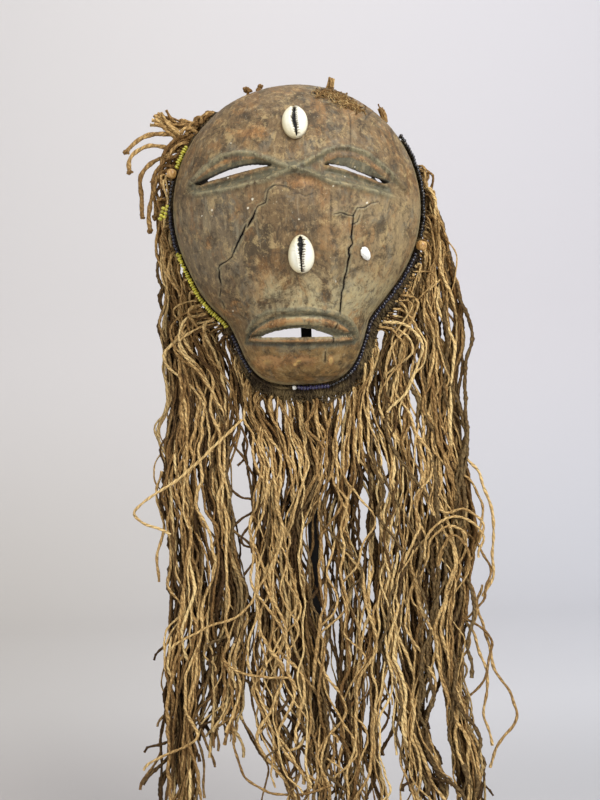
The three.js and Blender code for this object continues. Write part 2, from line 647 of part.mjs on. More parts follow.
addMesh("gourd_face", toGeometry(gourdFace()), 0x6e5a42, 0.6);
for (const shape of COWRIES) {
  setOnFace(addMesh(shape.name, cowrie(shape), 0xf2ecd6, 0.35), shape.at, shape.lean);
}
setOnFace(addMesh("cheek_chip", toGeometry(toSolid(halfEgg(CHIP))), 0xf4f2ea, 0.4), CHIP.at, CHIP.lean);
addMesh("fringe_band", toGeometry(fringeBand()), DARK_CORD);
for (const run of BEAD_RUNS) addMesh(run.name, beadRun(run), run.colour, 0.3);
for (const bead of WOODEN_BEADS) {
  const ball = addMesh(bead.name, new THREE.SphereGeometry(bead.radius, 12, 8), 0xd2a564, 0.5);
  ball.position.copy(rimPoint(bead.angle, bead.radius + 0.6, -bead.radius - 0.4));
}
const smallBall = new THREE.SphereGeometry(WHITE_BEAD_RADIUS, 8, 6);
const whiteBead = addMesh("white_bead_chin", smallBall, 0xf2f0e8, 0.3);
whiteBead.position.copy(rimPoint(WHITE_BEAD_ANGLE, WHITE_BEAD_RADIUS + 0.4, -WHITE_BEAD_RADIUS - 0.4));
const vectors = (path) => path.map((point) => new THREE.Vector3(...point));
addMesh("bead_tassel_yellow", tube(vectors(TASSEL_PATH), TASSEL_RADIUS, 7, 4), YELLOW_GLASS, 0.3);
const knot = addMesh("bead_tie_knot", new THREE.IcosahedronGeometry(TIE_KNOT_RADIUS, 1), 0x3c3a36);
knot.position.copy(rimPoint(TIE_KNOT_ANGLE, 4, -3.6));
for (const mass of MASSES) {
  for (let at = 0; at < mass.roots.length - 1; at += 1) {
    const name = `${mass.name}_lock_${at + 1}`;
    addMesh(name, toGeometry(lock(mass, at)), CORD, 0.9);
  }
}
addMesh("temple_clump", toGeometry(templeClump()), CORD, 0.9);
TUFT_CORDS.forEach((path, at) => {
  addMesh(`temple_cord_${at + 1}`, tube(vectors(path), CORD_RADIUS, CORD_SIDES, CORD_STEP), CORD, 0.9);
});
for (const { name, path } of STRAY_CORDS) {
  addMesh(name, tube(vectors(path), CORD_RADIUS, CORD_SIDES, CORD_STEP), CORD, 0.9);
}
STUBS.forEach((shape, at) => addMesh(`rim_cord_stub_${at + 1}`, toGeometry(stub(shape)), CORD, 0.9));
addMesh("frayed_patch", toGeometry(frayedPatch()), 0x86704c, 0.95);
const rod = addMesh("stand_rod", standRod(), BLACK_PAINT, 0.45, 0.6);
rod.rotation.order = "ZYX";
rod.rotation.set(Math.PI / 2, 0, Math.PI / 2);
rod.position.set(-ROD_SIZE / 2, 0, 0);
const slab = new THREE.BoxGeometry(PLATE_SIZE, PLATE_SIZE, PLATE_THICK);
const plate = addMesh("stand_base", slab, BLACK_PAINT, 0.45, 0.6);
plate.position.set(0, 0, PLATE_THICK / 2);

export default model;
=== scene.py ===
"""A carved gourd mask with cowrie shells, a bead string and a long fringe of twisted cords, on its rod stand.

Lengths in the settings are in metres. Routes and outlines are in millimetres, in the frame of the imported
model, with the mask looking along -Y and Z upwards.
"""

import math

import bpy
import numpy as np
from mathutils import Matrix, Vector


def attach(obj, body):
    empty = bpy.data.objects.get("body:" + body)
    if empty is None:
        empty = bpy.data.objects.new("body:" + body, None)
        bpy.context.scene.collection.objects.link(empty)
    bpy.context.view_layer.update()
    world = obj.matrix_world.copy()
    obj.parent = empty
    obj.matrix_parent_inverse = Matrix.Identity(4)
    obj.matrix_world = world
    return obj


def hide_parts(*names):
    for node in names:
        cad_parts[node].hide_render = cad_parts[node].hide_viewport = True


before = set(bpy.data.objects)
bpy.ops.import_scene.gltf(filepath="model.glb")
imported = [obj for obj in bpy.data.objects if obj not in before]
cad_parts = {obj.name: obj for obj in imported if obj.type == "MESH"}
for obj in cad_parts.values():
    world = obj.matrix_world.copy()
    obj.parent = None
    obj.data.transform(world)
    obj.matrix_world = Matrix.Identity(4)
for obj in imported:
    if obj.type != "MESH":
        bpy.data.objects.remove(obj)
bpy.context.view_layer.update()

bl_info = {
    "name": "Gourd Mask with Cord Fringe",
    "version": (1, 0, 0),
    "blender": (4, 5, 0),
    "location": "3D View > Sidebar > Gourd Mask",
    "description": "Builds the mask's shell, shells, beads, fringe, stand and studio around the packed model",
    "category": "Object",
}

MM = 0.001
BODY = "root"

# Outline and depth of the gourd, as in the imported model.
CENTRE_X, CENTRE_Z = -4.0, 533.0
BULB_RADIUS = 92.5
FACE_DEPTH = 65.0
CHIN_DROP, CHIN_HEIGHT, CHIN_HALF_WIDTH = 93.0, 38.5, 48.5
CHIN_TAPER, CHIN_ROUNDNESS = 0.3, 3.5
CHEEK_BLEND = 17.0
JOWL_SWELL, JOWL_DROP, JOWL_SPAN = 5.0, 70.0, 19.0

# The two carved ridges that cross over the bridge, and the lids between them.
RIDGE_FALLING = [
    (-86, 543), (-80.6, 548.7), (-75.9, 552.7), (-66.8, 559.8), (-54.7, 565.7), (-44, 566.6), (-33.6, 564.4),
    (-24.3, 560.4), (-16.2, 556.2), (-6, 552.9), (2.1, 550.7), (11.2, 546.8), (20.3, 542.4), (34.8, 539.4),
    (50.5, 536.5), (64.6, 533.2), (74, 532),
]
RIDGE_RISING = [
    (-86, 542), (-80.8, 540.9), (-69.5, 540), (-58.6, 540.3), (-47.9, 541.5), (-37.3, 542.9), (-26.9, 544.7),
    (-16.4, 549), (-6, 552.5), (2.3, 555.4), (9.7, 560.1), (18.1, 564.7), (26.5, 567.2), (34.9, 567.2),
    (46.4, 563.8), (56.8, 556.1), (67.4, 547.1), (77.4, 538.1),
]
LEFT_SLIT_TOP = [
    (-75.5, 548), (-67.2, 550.4), (-58.2, 553.4), (-51.7, 555.1), (-42.2, 556.9), (-33.8, 557.4), (-23.5, 556.2),
]
LEFT_SLIT_LOW = [(-75.5, 547.4), (-67.2, 548.7), (-58.3, 549.8), (-47.6, 551.6), (-37, 553.4), (-23.5, 555.7)]
LEFT_LID = [
    (-79, 547), (-73.7, 550.8), (-65.8, 554.5), (-52.7, 559.2), (-42.1, 560.6), (-31.6, 560.7), (-23.4, 557.9),
    (-18.8, 554.7),
]
RIGHT_SLIT_TOP = [(19.5, 555.9), (31.2, 554.1), (38.4, 551.3), (47.8, 547.8), (50, 547)]
RIGHT_SLIT_LOW = [(19.5, 555.1), (30, 551.6), (39.3, 548.3), (47.7, 546.4), (50, 546.2)]
RIGHT_SLIT_LINE = [(19.5, 555.3), (31, 552.6), (42, 549.2), (52, 546), (60, 543.6)]
LEFT_HOLE_FROM = -67.6
RIGHT_HOLE = [(52, 546.9), (55.5, 545.9), (57.6, 543.8), (54.4, 544.1)]
RIGHT_LID = [(14.6, 554.7), (17.8, 556.8), (25.2, 559.8), (35.6, 560), (46, 555.9), (56.4, 548.4), (64.5, 543.4)]

MOUTH_TOP = [
    (-33.6, 436.9), (-27.3, 439.1), (-19.8, 440.6), (-12.5, 441.4), (-4.2, 441.7), (3.9, 440.7), (11.2, 438.2),
    (19.3, 435.3),
]
MOUTH_LOW = [(-33.6, 436.2), (-21.9, 435.6), (-7.2, 435), (5.6, 434.8), (19.3, 434.9)]
MOUTH_BEVEL = [
    (-40.5, 437.4), (-33.8, 439.8), (-25.3, 441.8), (-12.4, 443.4), (1.2, 443.4), (11.3, 442.1), (20.5, 440.4),
    (27.5, 437.4),
]
LIP_EDGE = [
    (-43.5, 436.4), (-40.2, 440.4), (-35.5, 443.8), (-28.7, 447.3), (-19.4, 450), (-3.1, 450.2), (10.5, 449.2),
    (20.6, 446.7), (29, 441.9), (33.6, 436), (34.6, 433.4),
]
LIP_RIDGE = [
    (-45, 436), (-43.2, 441), (-40.1, 445.6), (-35.1, 450.1), (-28.4, 453.2), (-21, 454.4), (-12, 453.9),
    (-2.9, 454.2),
    (6.1, 453.1), (15.2, 451.6), (24.4, 449.8), (31.9, 445.5), (36.7, 438.5), (38.2, 431.3), (35.2, 424),
]
LIP_LOW = [(-42.6, 435.6), (-31.2, 433.6), (-12.8, 432.7), (5.5, 432.3), (24.1, 432.6), (33.7, 433.6)]
LIP_LINE = [(-44.2, 433.4), (-31.4, 431.1), (-12.9, 429.7), (5.4, 429.3), (20.3, 429.5), (34, 431)]

# Front and back of the blocks that cut the eyes and the mouth through the face.
CUT_THROUGH = (-90, -25)

# Cracks: route and width along it. Hairlines are fine cracks in the skin alone.
CRACKS = [
    ([(-19.5, 541), (-24, 537.5), (-26, 529), (-31.5, 527), (-33.4, 523.6)], [0.25, 0.35, 0.5, 0.35, 0.7]),
    ([(-33.4, 523.6), (-35.2, 519.3), (-37.6, 515.6), (-39.3, 512.8)], [0.7, 1.7, 1.9, 0.9]),
    ([(-40.3, 514.5), (-42.5, 509.6), (-46, 504), (-49.6, 496.6)], [0.9, 1.9, 1.6, 0.8]),
    ([(-49.6, 497), (-51.6, 493), (-54.6, 490.8), (-60.4, 488.4), (-61.8, 485.9)], [0.7, 0.8, 0.5, 0.9, 0.6]),
    ([(-61.2, 485.3), (-61.4, 479.6), (-60.2, 475.1)], [0.5, 1.4, 0.5]),
    ([(-60.6, 472.5), (-61.9, 467.2)], [0.4, 0.6]),
    ([(-60.4, 463.2), (-59.2, 459.3)], [0.3, 0.5]),
    ([(38.3, 523.8), (35.4, 518.4), (34.2, 508.6), (33.4, 503.6)], [0.4, 0.8, 1.3, 1.5]),
    ([(33.4, 503.6), (34.4, 498.8), (31.6, 495.8), (31.2, 491.2)], [1.4, 0.8, 1.8, 1]),
    ([(32.4, 491.9), (30.9, 487.3), (29.4, 480.2)], [1.2, 1.5, 0.6]),
    ([(29.9, 481), (27.7, 474.9), (27.3, 469.2), (25.4, 464.9)], [0.7, 1.3, 1.2, 0.5]),
    ([(25.6, 465.8), (25.1, 459.6), (24.1, 450.5)], [0.6, 1.3, 1.1]),
    ([(21.8, 519.5), (27, 520.6), (31.7, 518.8), (35.4, 518.4)], [0.3, 0.45, 0.6, 0.5]),
    ([(38.3, 523.8), (44, 524.4), (48, 527.2), (53.6, 528.8)], [0.5, 0.5, 0.45, 0.2]),
    ([(34.5, 512), (38.2, 514.2), (40.3, 519.3)], [0.5, 0.4, 0.2]),
    ([(22.4, 443.6), (20.6, 440.6)], [0.7, 0.8]),
    ([(19.2, 433.9), (18.6, 430.6)], [0.5, 0.7]),
    ([(12.9, 424.2), (12.6, 417.2)], [0.5, 0.6]),
]
HAIRLINES = [
    [(35.9, 596), (36.4, 585), (35.6, 572), (35.3, 559.5)],
    [(20, 535), (19.9, 527), (19.4, 519), (19.2, 505)],
    [(-27.5, 535), (-24.6, 538.6), (-19.5, 541), (-12, 540.2), (-7.6, 538)],
    [(-6.7, 534.6), (-1.5, 534.7), (1.5, 532.3), (8.7, 534.9)],
    [(60, 606), (52, 598), (47, 590)],
    [(-60.4, 456), (-58.5, 446)],
]
RIM_HOLES = [(40.8, 594.2, 1.3), (22.4, 601.7, 1.2), (12, 611.8, 1.1)]

# Dents and swellings: place, radius and depth.
DENTS = [
    (-19.5, 463.6, 5.6, 1.0), (-2.6, 465.4, 2.6, 0.9), (55.4, 521.5, 2.6, 0.6), (68, 522, 2.4, 0.6),
    (-27, 424, 5, 0.5), (16.9, 418.3, 2.2, -0.5), (-6, 605, 6, 0.7), (44, 571, 5, 0.6), (-52, 528, 9, 0.5),
    (7, 541.5, 9, 1.3), (-9, 545.5, 7, 0.9), (-3.4, 509.3, 1.3, -1.2), (-5.6, 508.6, 1.0, -0.8),
    (-1.2, 510.4, 0.9, -0.8),
]

# Places rubbed down to ochre: centre, half sizes and strength.
OCHRE = [
    (-24, 419, 13, 7, 0.8), (2, 417, 15, 6, 0.75), (17, 418, 1.9, 3.4, 2.2), (-6.5, 417.6, 1.5, 1.3, 2.0),
    (-9.5, 415.8, 1.3, 1.0, 1.7), (-32, 418.5, 9, 6, 0.95), (-4, 420, 12, 4, 0.5), (-56.5, 455, 9, 9, 0.75),
    (-68.5, 466, 8, 7, 0.5), (34, 450, 7, 12, 0.7), (-42, 458.5, 8, 6, 0.45), (48, 486, 9, 14, 0.35),
    (-68, 500, 4, 12, 0.55), (-38, 582, 22, 9, 0.75), (10, 537, 10, 9, 0.4), (26, 527, 9, 9, 0.35),
    (7, 516, 8, 12, 0.3), (-76, 505, 8, 15, 0.3),
]

# Pale flecks: place and radius.
FLECKS = [
    (-52.0, 549.0, 0.9), (-35.0, 532.1, 1.0), (-72.1, 524.0, 0.7), (-64.4, 527.2, 0.8), (-64.6, 523.0, 0.6),
    (-38.4, 526.1, 0.8), (22.1, 539.1, 0.7), (30.5, 546.3, 0.6), (-49.3, 574.5, 0.6), (-68.9, 497.7, 0.5),
    (-2.9, 516.5, 0.7), (45.6, 527.5, 0.9), (38.0, 553.7, 0.6), (-52.9, 456.2, 0.6), (21.8, 473.2, 0.7),
]

# Cowries: the aperture's place and half width from the lower to the upper end, and how stained each side is.
COWRIES = [
    {
        "name": "forehead_cowrie", "at": (-3.4, 585.5), "lean": 2, "taper": 0.03, "left": 0.85, "right": 0.9,
        "aperture": [0.4, 0.2, -0.5, -0.9, -0.3, 0.3, -0.3], "opening": [0.15, 0.6, 1.35, 1.5, 0.9, 0.9, 0.3],
    },
    {
        "name": "nose_cowrie", "at": (-2.2, 492.3), "lean": 1, "taper": -0.12, "left": 0.35, "right": 1.3,
        "aperture": [-0.2, -0.3, -0.5, -0.5, -0.3, -0.2, -0.2], "opening": [0.15, 0.3, 0.4, 1.0, 1.6, 1.6, 0.7],
    },
]
COWRIE_SIZE = (18.4, 7.5, 27.0)
TOOTH_PITCH = 1.7
CHIP_AT, CHIP_SIZE, CHIP_LEAN = (43.3, 492.3), (7.0, 2.4, 11.0), 35

# Bead string along the rim: node, from angle, to angle, colour, pitch, row count.
BEAD_RUNS = [
    ("beads_yellow_temple", 291, 301, "yellow", 1.9, 1),
    ("beads_black_left", 272.5, 284, "black", 2.5, 1),
    ("beads_blue_left", 252, 271, "blue", 2.4, 1),
    ("beads_yellow_cheek", 213, 251, "yellow", 1.9, 1),
    ("beads_blue_jaw_left", 198, 208.8, "blue", 2.2, 1),
    ("beads_violet_chin", 172, 181.3, "violet", 2.2, 1),
    ("beads_black_chin", 164, 171.3, "black", 2.4, 1),
    ("beads_blue_jaw_right", 153, 163.3, "blue", 2.4, 1),
    ("beads_blue_right", 113, 151.5, "blue", 2.4, 1),
    ("beads_black_right", 57, 104, "black", 2.3, 2),
]

# Beads of a colour: radius as a share of the bead size, length as a share of the pitch, and variation.
BEAD_LOOKS = {"yellow": (0.56, 0.95, 0.09), "black": (0.43, 1.2, 0.16)}
COMMON_LOOK = (0.52, 1.2, 0.09)

# The other pieces of the string: node, angles along the rim, and radius of a bead.
RIM_CORD = ("rim_cord_chin", 184.3, 197.5)
BEAD_OFFSET = 2.5
WOODEN_BEADS = [("wooden_bead_left", 287.5, 3.9), ("wooden_bead_right", 108.6, 4.1)]
WHITE_BEAD = ("white_bead_chin", 182.8, 1.7)
TIE_KNOT = ("bead_tie_knot", 211.2)
TASSEL_PATH = [(-102.2, -1.5, 537.5), (-103.4, -2.5, 533.5), (-104.8, -3.2, 529.5)]

# Band behind the rim: its ends by angle, how far it reaches in and out, and its thickness.
BAND_START, BAND_END = 60.0, 323.0
BAND_INSIDE, BAND_THICK = 5.0, 6.0
BAND_SIDE_REACH, BAND_CHIN_REACH, BAND_CHIN_ANGLE, BAND_CHIN_SPAN = 3.2, 11.0, 163.0, 46.0

# Single long cords that cross or loop out of a lock: how light each is, painted light in front and dark behind as
# light and shade, and its route below its start.
CROSSINGS = {
    "fringe_centre_lock_1": [
        (0.9, [
            (-33, -10, 317), (-41, -10.5, 295), (-43.5, -10.5, 272), (-42.5, -10.5, 255), (-35.5, -10, 238),
            (-28, -10, 221), (-22, -9.5, 205), (-19, -8, 188)]),
        (0.85, [
            (-44, -10, 275), (-48, -12, 246), (-56, -13, 235), (-66, -13, 229), (-80, -13, 225), (-94, -13, 219),
            (-106, -12.5, 212), (-111, -11, 201)]),
        (0.1, [(-55, 1, 283), (-48, 1, 280), (-43, 1, 274), (-47, 1, 267), (-52, 1, 260)]),
    ],
    "fringe_left_inner_lock_2": [
        (0.8, [
            (-65, -10, 243), (-66.5, -11, 223), (-65.5, -11, 206), (-61, -11, 194), (-51, -10.5, 188),
            (-37, -10, 185), (-21, -9.5, 183), (-15.5, -9, 175)]),
        (0.5, [
            (-62.5, -6, 157), (-63, -6, 138), (-62, -6, 123), (-56.5, -6.5, 110), (-45, -7, 101), (-32, -7.5, 97),
            (-13, -7.5, 97), (5.5, -7, 102)]),
        (0.1, [(-57, 2, 390), (-53.5, 2, 378), (-47, 2, 369), (-45.5, 2, 357), (-50, 2, 348), (-56.5, 2, 342)]),
        (0.15, [(-60, 3, 369), (-57.5, 3, 357), (-51, 3, 348), (-44.5, 3, 338), (-40.5, 3, 326)]),
        (0.05, [(-60.5, 2, 327), (-55.5, 2, 318), (-48, 2, 316), (-45.5, 2, 308), (-52.5, 2, 302), (-59, 2, 296)]),
    ],
    "fringe_right_inner_lock_1": [
        (0.1, [(55.5, 2, 388), (61.5, 2, 378), (63.5, 2, 368), (58.5, 2, 359), (52.5, 2, 353)]),
        (0.05, [(55.5, 2, 353), (61, 2, 345), (59, 2, 335), (53.5, 2, 328), (55.5, 2, 317)]),
        (0.2, [(51, 0, 193), (55, 0, 181), (51.5, 0, 167), (45.5, 0, 158), (48, 0, 148)]),
        (0.1, [(46.5, 1, 170), (51.5, 1, 160), (48.5, 1, 146), (43, 1, 134), (45.5, 1, 121)]),
    ],
    "fringe_right_lock_1": [
        (0.95, [
            (84, -9, 268), (88, -11, 284), (96, -12, 296), (106, -12, 300), (115, -12, 295), (121, -11, 283),
            (122, -9, 268)]),
        (0.8, [
            (78, -9, 262), (83, -11, 276), (91, -12.5, 288), (101, -13, 293), (110, -12.5, 288), (113, -11, 277),
            (108, -9, 265)]),
        (0.55, [
            (90, -8, 262), (93, -10, 275), (99, -11, 284), (107, -11, 286), (113, -10, 279), (115, -8, 265),
            (112, -6, 250)]),
        (0.9, [(96, -9, 306), (103, -11, 302), (111, -12, 305), (119, -11, 300), (124, -10, 290), (121, -8, 279)]),
    ],
    "fringe_right_lock_2": [
        (0.7, [(107.5, -2, 334), (117, -2, 326), (124, -2, 312), (126.5, -2, 295), (123, -2, 277), (115, -2, 266)]),
        (0.45, [
            (101, -1, 296), (114, -1, 288), (124.5, -1, 274), (129.5, -1, 256), (127.5, -1, 237), (118, -1, 224),
            (109, -1, 219)]),
        (0.6, [
            (98.5, -3, 266), (110, -3, 255), (118.5, -3, 239), (120.5, -3, 221), (114, -3, 202), (104.5, -3, 191)]),
        (0.3, [(102, 0, 228), (115, 0, 219), (125, 0, 205), (129, 0, 188), (124, 0, 172), (113, 0, 164)]),
    ],
}

# Levels of the edges below the gourd, where the cords come clear of the band, and how many strands a lock has.
LEVELS = [392, 340, 290, 240, 190, 140, 90]
RELEASE_LEVEL, RELEASE_FALL = 386, 60
STRANDS = 7
# Kinks of a cord from slow to fine, as the least and most of their size and reach. A strand shares the first.
CORD_KINKS = [((2.0, 4.4), (15, 32)), ((0.8, 2.0), (9, 18)), ((0.4, 0.9), (4.5, 7))]
OUTERMOST, MORE_CORDS = ("fringe_left", "fringe_right"), 3

# Masses of cords: angles of the roots of their locks, edges beside the gourd as rows of height, left and right,
# and edges at the levels. "hold" is the height, place and strength of a waist, "shade" the height and strength
# of a dark pocket, "swing" how far the cords arch out of the band, "end" where the mass runs out, and "front",
# "behind" and "depth" are its place and its thickness in depth, beside the band and below it.
MASSES = [
    {
        "name": "fringe_left", "hold": (300, 0.4, 0.2), "swing": 7, "roots": [287, 271, 243],
        "end": 44, "depth": 20, "front": -8, "behind": 13,
        "above": [
            [556, -101, -95], [540, -105, -97], [520, -107.5, -96.5], [490, -107, -91], [460, -105, -84],
            [430, -104, -80],
        ],
        "left": [-102.6, -108.9, -105.4, -103.4, -111.1, -115.9, -117.6],
        "right": [-78.5, -83.3, -78.2, -76.3, -84, -89.5, -89],
    },
    {
        "name": "fringe_left_inner", "hold": (298, 0.7, 0.5), "shade": (240, 0.85), "swing": 34,
        "roots": [242, 226, 210], "end": 122, "depth": 20, "front": -7, "behind": 13,
        "above": [[480, -90, -85], [460, -83, -65], [430, -79, -56]],
        "left": [-77.5, -82.3, -77.2, -75.3, -83, -88.5, -88],
        "right": [-53, -60.9, -58.1, -50.2, -56.4, -66.4, -70],
    },
    {
        "name": "fringe_centre", "hold": (285, 0.55, 0.15), "swing": 6, "roots": [209, 193, 183, 174.5],
        "end": 70, "depth": 15, "front": -6, "behind": 8.6,
        "above": [[410, -49, 8.2]],
        "left": [-50.5, -44.4, -43.9, -43.4, -51.9, -46.9, -28.4],
        "right": [8.4, 15.6, -3.6, -2.9, 4.6, 7.9, 7.9],
    },
    {
        "name": "fringe_centre_right", "hold": (250, 0.5, 0.15), "swing": 6, "roots": [173.5, 161, 150],
        "end": 30, "depth": 15, "front": -6, "behind": 8.6,
        "above": [[410, 9, 43]],
        "left": [8.5, 11.5, 4, 3.5, 5, 7, 7],
        "right": [44, 51.6, 56.7, 54.1, 44.9, 38.6, 41.4],
    },
    {
        "name": "fringe_right_inner", "hold": (150, 0.3, 0.3), "swing": 32, "roots": [149, 131, 114],
        "end": 52, "depth": 22, "front": -8, "behind": 14,
        "above": [[486, 82, 86], [460, 66, 81], [425, 50, 82]],
        "left": [45, 55.4, 58.2, 57.1, 59.2, 61.9, 65.4],
        "right": [83.4, 86.9, 88.2, 85.6, 83.2, 79.2, 87.9],
    },
    {
        "name": "fringe_right", "hold": (160, 0.3, 0.35), "swing": 7, "roots": [113, 95, 73],
        "end": 24, "depth": 22, "front": -8, "behind": 14,
        "above": [
            [563, 86, 90], [545, 88.5, 95], [534, 90, 100], [520, 90, 103.5], [490, 86.5, 110], [462, 82.5, 113.4],
            [430, 84.6, 114.5],
        ],
        "left": [84.4, 88.4, 89.7, 87.9, 92.9, 99.4, 104.4],
        "right": [110.5, 113, 117.5, 110.6, 106.7, 110.7, 117.9],
    },
]

# Single cords, from where each leaves the mask to its far end.
TEMPLE_CORDS = [
    [
        (-84, 9, 588), (-93, 9, 592.5), (-103, 9, 594.5), (-112, 8, 594), (-121, 6, 590.5), (-128, 5, 585.5),
        (-132.5, 5, 581),
    ],
    [
        (-86, 12.5, 581), (-97, 13, 584), (-107, 13, 586.5), (-116.5, 12, 586), (-123, 10.5, 580.5), (-127, 10, 574),
        (-128.5, 10, 567),
    ],
    [
        (-89, 8.5, 574), (-99, 9.5, 577), (-108, 10, 577.5), (-115, 9, 573.5), (-119.5, 8, 566), (-121.5, 8, 556),
        (-122.5, 8, 546), (-123, 8, 533),
    ],
    [
        (-91, 8.5, 567), (-100, 7.5, 567), (-106, 6, 562), (-110.5, 5, 552), (-115, 5, 541.5), (-116.5, 5, 531),
        (-115.5, 5, 521),
    ],
    [
        (-92, 15, 574), (-102, 15.5, 572.5), (-110, 16, 568), (-114, 16, 560), (-113, 15.5, 551), (-110.5, 14, 542),
        (-111.5, 13, 533),
    ],
]
TEMPLE_DIAMETER = 0.0032
STRAY_CORDS = [
    ("left_loop", [
        (-50, -9, 377), (-68, -12, 361), (-84, -13.5, 347), (-100, -14, 334), (-115, -13, 324.5), (-126, -12, 316.5),
        (-131.5, -11, 310), (-126.5, -10, 303.5), (-115.5, -9.5, 298), (-108.5, -9, 293)]),
    ("left_end", [
        (-112.5, 6, 340), (-115.5, 5, 326), (-114.5, 4, 312), (-113, 3.5, 298), (-114.5, 3, 284), (-117, 3, 270),
        (-118.5, 3, 257)]),
    ("right_shoulder", [
        (115.5, -1, 349), (119.5, -1.5, 337), (124, -2, 325), (129.5, -2.5, 314), (134.5, -3, 304), (137.5, -3, 292),
        (137, -2.5, 279), (134.5, -2, 266), (132, -2, 252), (130, -2, 238)]),
    ("right_loop", [
        (126, 6, 246), (125.5, 5, 228), (126.5, 4, 210), (132, 3, 190), (140, 3, 173), (147.5, 3, 159), (150, 3, 148),
        (146, 3.5, 138.5), (137, 4, 130.5), (130.5, 4.5, 121), (126, 5, 108)]),
    ("right_inner", [
        (111, 3, 222), (115, 1, 211.5), (120.5, 0, 196.5), (126, 0, 180), (125, 0, 166.5), (122.5, 0.5, 154),
        (125.5, 1, 140.5), (125, 1, 126)]),
]
CLUMP_PATH = [(-60, 11, 603), (-70, 11, 604), (-82, 11, 600.5), (-95, 11, 603.5), (-107, 10, 609)]

# Cord stubs: foot, tip, width, how far the foot and the tip spread, whether the end is a knot, and how light
# the fibre is.
STUBS = [
    ((24.3, 620), (25.2, 628.5), 5.0, 2.6, 0.7, False, 0.35),
    ((62.6, 599.4), (60.6, 605), 5.2, 0.5, 1.5, False, 0.15),
    ((-37.3, 617.5), (-37.3, 622), 4.0, 0, 0, True, -0.1),
    ((-28.8, 620), (-29, 623.2), 4.0, 0, 0, True, 0.0),
]
PATCH_FROM, PATCH_TO = (14, 612.5), (44, 598)
PATCH_FIBRES = 250

# Studio, in metres: the camera's place and its roll in degrees, and how far the paper reaches to the sides, to
# the front and to the back on the floor, the radius of its bend, and its height.
CAMERA_AT, CAMERA_ROLL = (-0.0066, -0.95, 0.39), 2
PAPER_SIDE, PAPER_FRONT, PAPER_FLOOR_END, PAPER_BEND, PAPER_TOP = 2.6, -2.2, 1.3, 0.6, 2.4


def srgb(red, green, blue):
    """A linear colour with full alpha, from the usual 0 to 255 numbers."""
    channels = [value / 255 for value in (red, green, blue)]
    return tuple([c / 12.92 if c <= 0.04045 else ((c + 0.055) / 1.055) ** 2.4 for c in channels] + [1.0])


# Settings


def length(label, about, value):
    """A length setting in metres."""
    return bpy.props.FloatProperty(
        name=label, description=about, default=value, min=0, precision=4, subtype="DISTANCE", unit="LENGTH",
    )


def paint(label, about, value):
    """A colour setting."""
    return bpy.props.FloatVectorProperty(
        name=label, description=about, default=srgb(*value), size=4, min=0, max=1, subtype="COLOR",
    )


def amount(label, about, value, least=1):
    """A whole number setting."""
    return bpy.props.IntProperty(name=label, description=about, default=value, min=least)


def watts(label, about, value):
    """A light's power setting."""
    return bpy.props.FloatProperty(name=label, description=about, default=value, min=0, unit="POWER")


class GourdSettings(bpy.types.PropertyGroup):
    """Sizes and colours of the carved shell."""

    wall: length("Wall", "Thickness of the gourd's wall", 0.005)
    ridge: length("Ridge Height", "How far the carved ridges stand out", 0.0016)
    socket: length("Socket Depth", "How far the eye sockets are sunk", 0.0016)
    bevel: length("Bevel Depth", "How deep the upper wall of each slit is cut back", 0.0034)
    crack_depth: length("Crack Depth", "How deep the cracks go into the wall", 0.0038)
    cells: amount("Surface Cells", "Cells across the outer surface, a multiple of 4", 280, 40)
    skin: paint("Skin", "Weathered skin in the middle of the face", (120, 96, 62))
    skin_dark: paint("Dark Skin", "Smoky skin of the left cheek", (116, 101, 76))
    # The right cheek's paler skin: partly dust, partly painted light on the side the key light falls on.
    skin_dust_and_light: paint("Pale Skin", "Dusty skin of the right cheek", (152, 131, 94))
    worn: paint("Worn Wood", "Orange wood where the skin is rubbed off", (160, 113, 62))
    recess: paint("Recesses", "Grey-green dust in the carved grooves", (92, 91, 72))
    # Painted shade inside cracks, slits, grooves and cuts, with some soot on the face.
    soot: paint("Crack Shade", "Inside of the cracks", (20, 16, 12))


class FringeSettings(bpy.types.PropertyGroup):
    """Sizes and colours of the cords."""

    diameter: length("Cord Diameter", "Width of one two-ply cord", 0.0027)
    twist: length("Twist", "Length of one full turn of the two plies", 0.0072)
    fine_step: length("Fine Step", "Spacing of the rings of a cord in front", 0.0023)
    plain_step: length("Plain Step", "Spacing of the rings of a cord in the middle of a lock", 0.0046)
    outer_count: amount("Outer Cords", "Cords on the outside of each lock", 16)
    inner_count: amount("Inner Cords", "Cords inside each lock", 11)
    seed: amount("Seed", "Seed of the way the cords run", 7, 0)
    light: paint("Light Fibre", "Sunlit golden fibre", (244, 212, 148))
    middle: paint("Fibre", "Common colour of the fibre", (214, 174, 112))
    # The dark fibre is partly darker cords and partly the painted shade of the cords inside the fringe.
    dark: paint("Dark Fibre", "Dusty fibre inside the fringe", (124, 92, 52))


class TrimSettings(bpy.types.PropertyGroup):
    """Sizes and colours of shells, beads and band."""

    bead: length("Bead Diameter", "Width of a glass bead", 0.0033)
    yellow: paint("Yellow Glass", "Yellow beads", (250, 240, 92))
    blue: paint("Blue Glass", "Dark blue beads", (30, 31, 52))
    black: paint("Black Glass", "Black beads", (22, 21, 25))
    violet: paint("Violet Glass", "Violet blue beads at the chin", (64, 60, 102))
    shell: paint("Shell", "Cowrie shell", (252, 250, 230))
    wood: paint("Bead Wood", "Wooden beads", (212, 172, 104))
    band: paint("Band", "Knotted band behind the rim", (112, 95, 64))
    stand: paint("Stand", "Black painted steel", (20, 19, 19))


class StageSettings(bpy.types.PropertyGroup):
    """Studio around the mask."""

    key: watts("Key Light", "Power of the main light", 33)
    fill: watts("Fill Light", "Power of the soft light from the left", 9)
    lens: bpy.props.FloatProperty(
        name="Lens", description="Focal length of the camera in millimetres", default=57.0, min=1,
    )


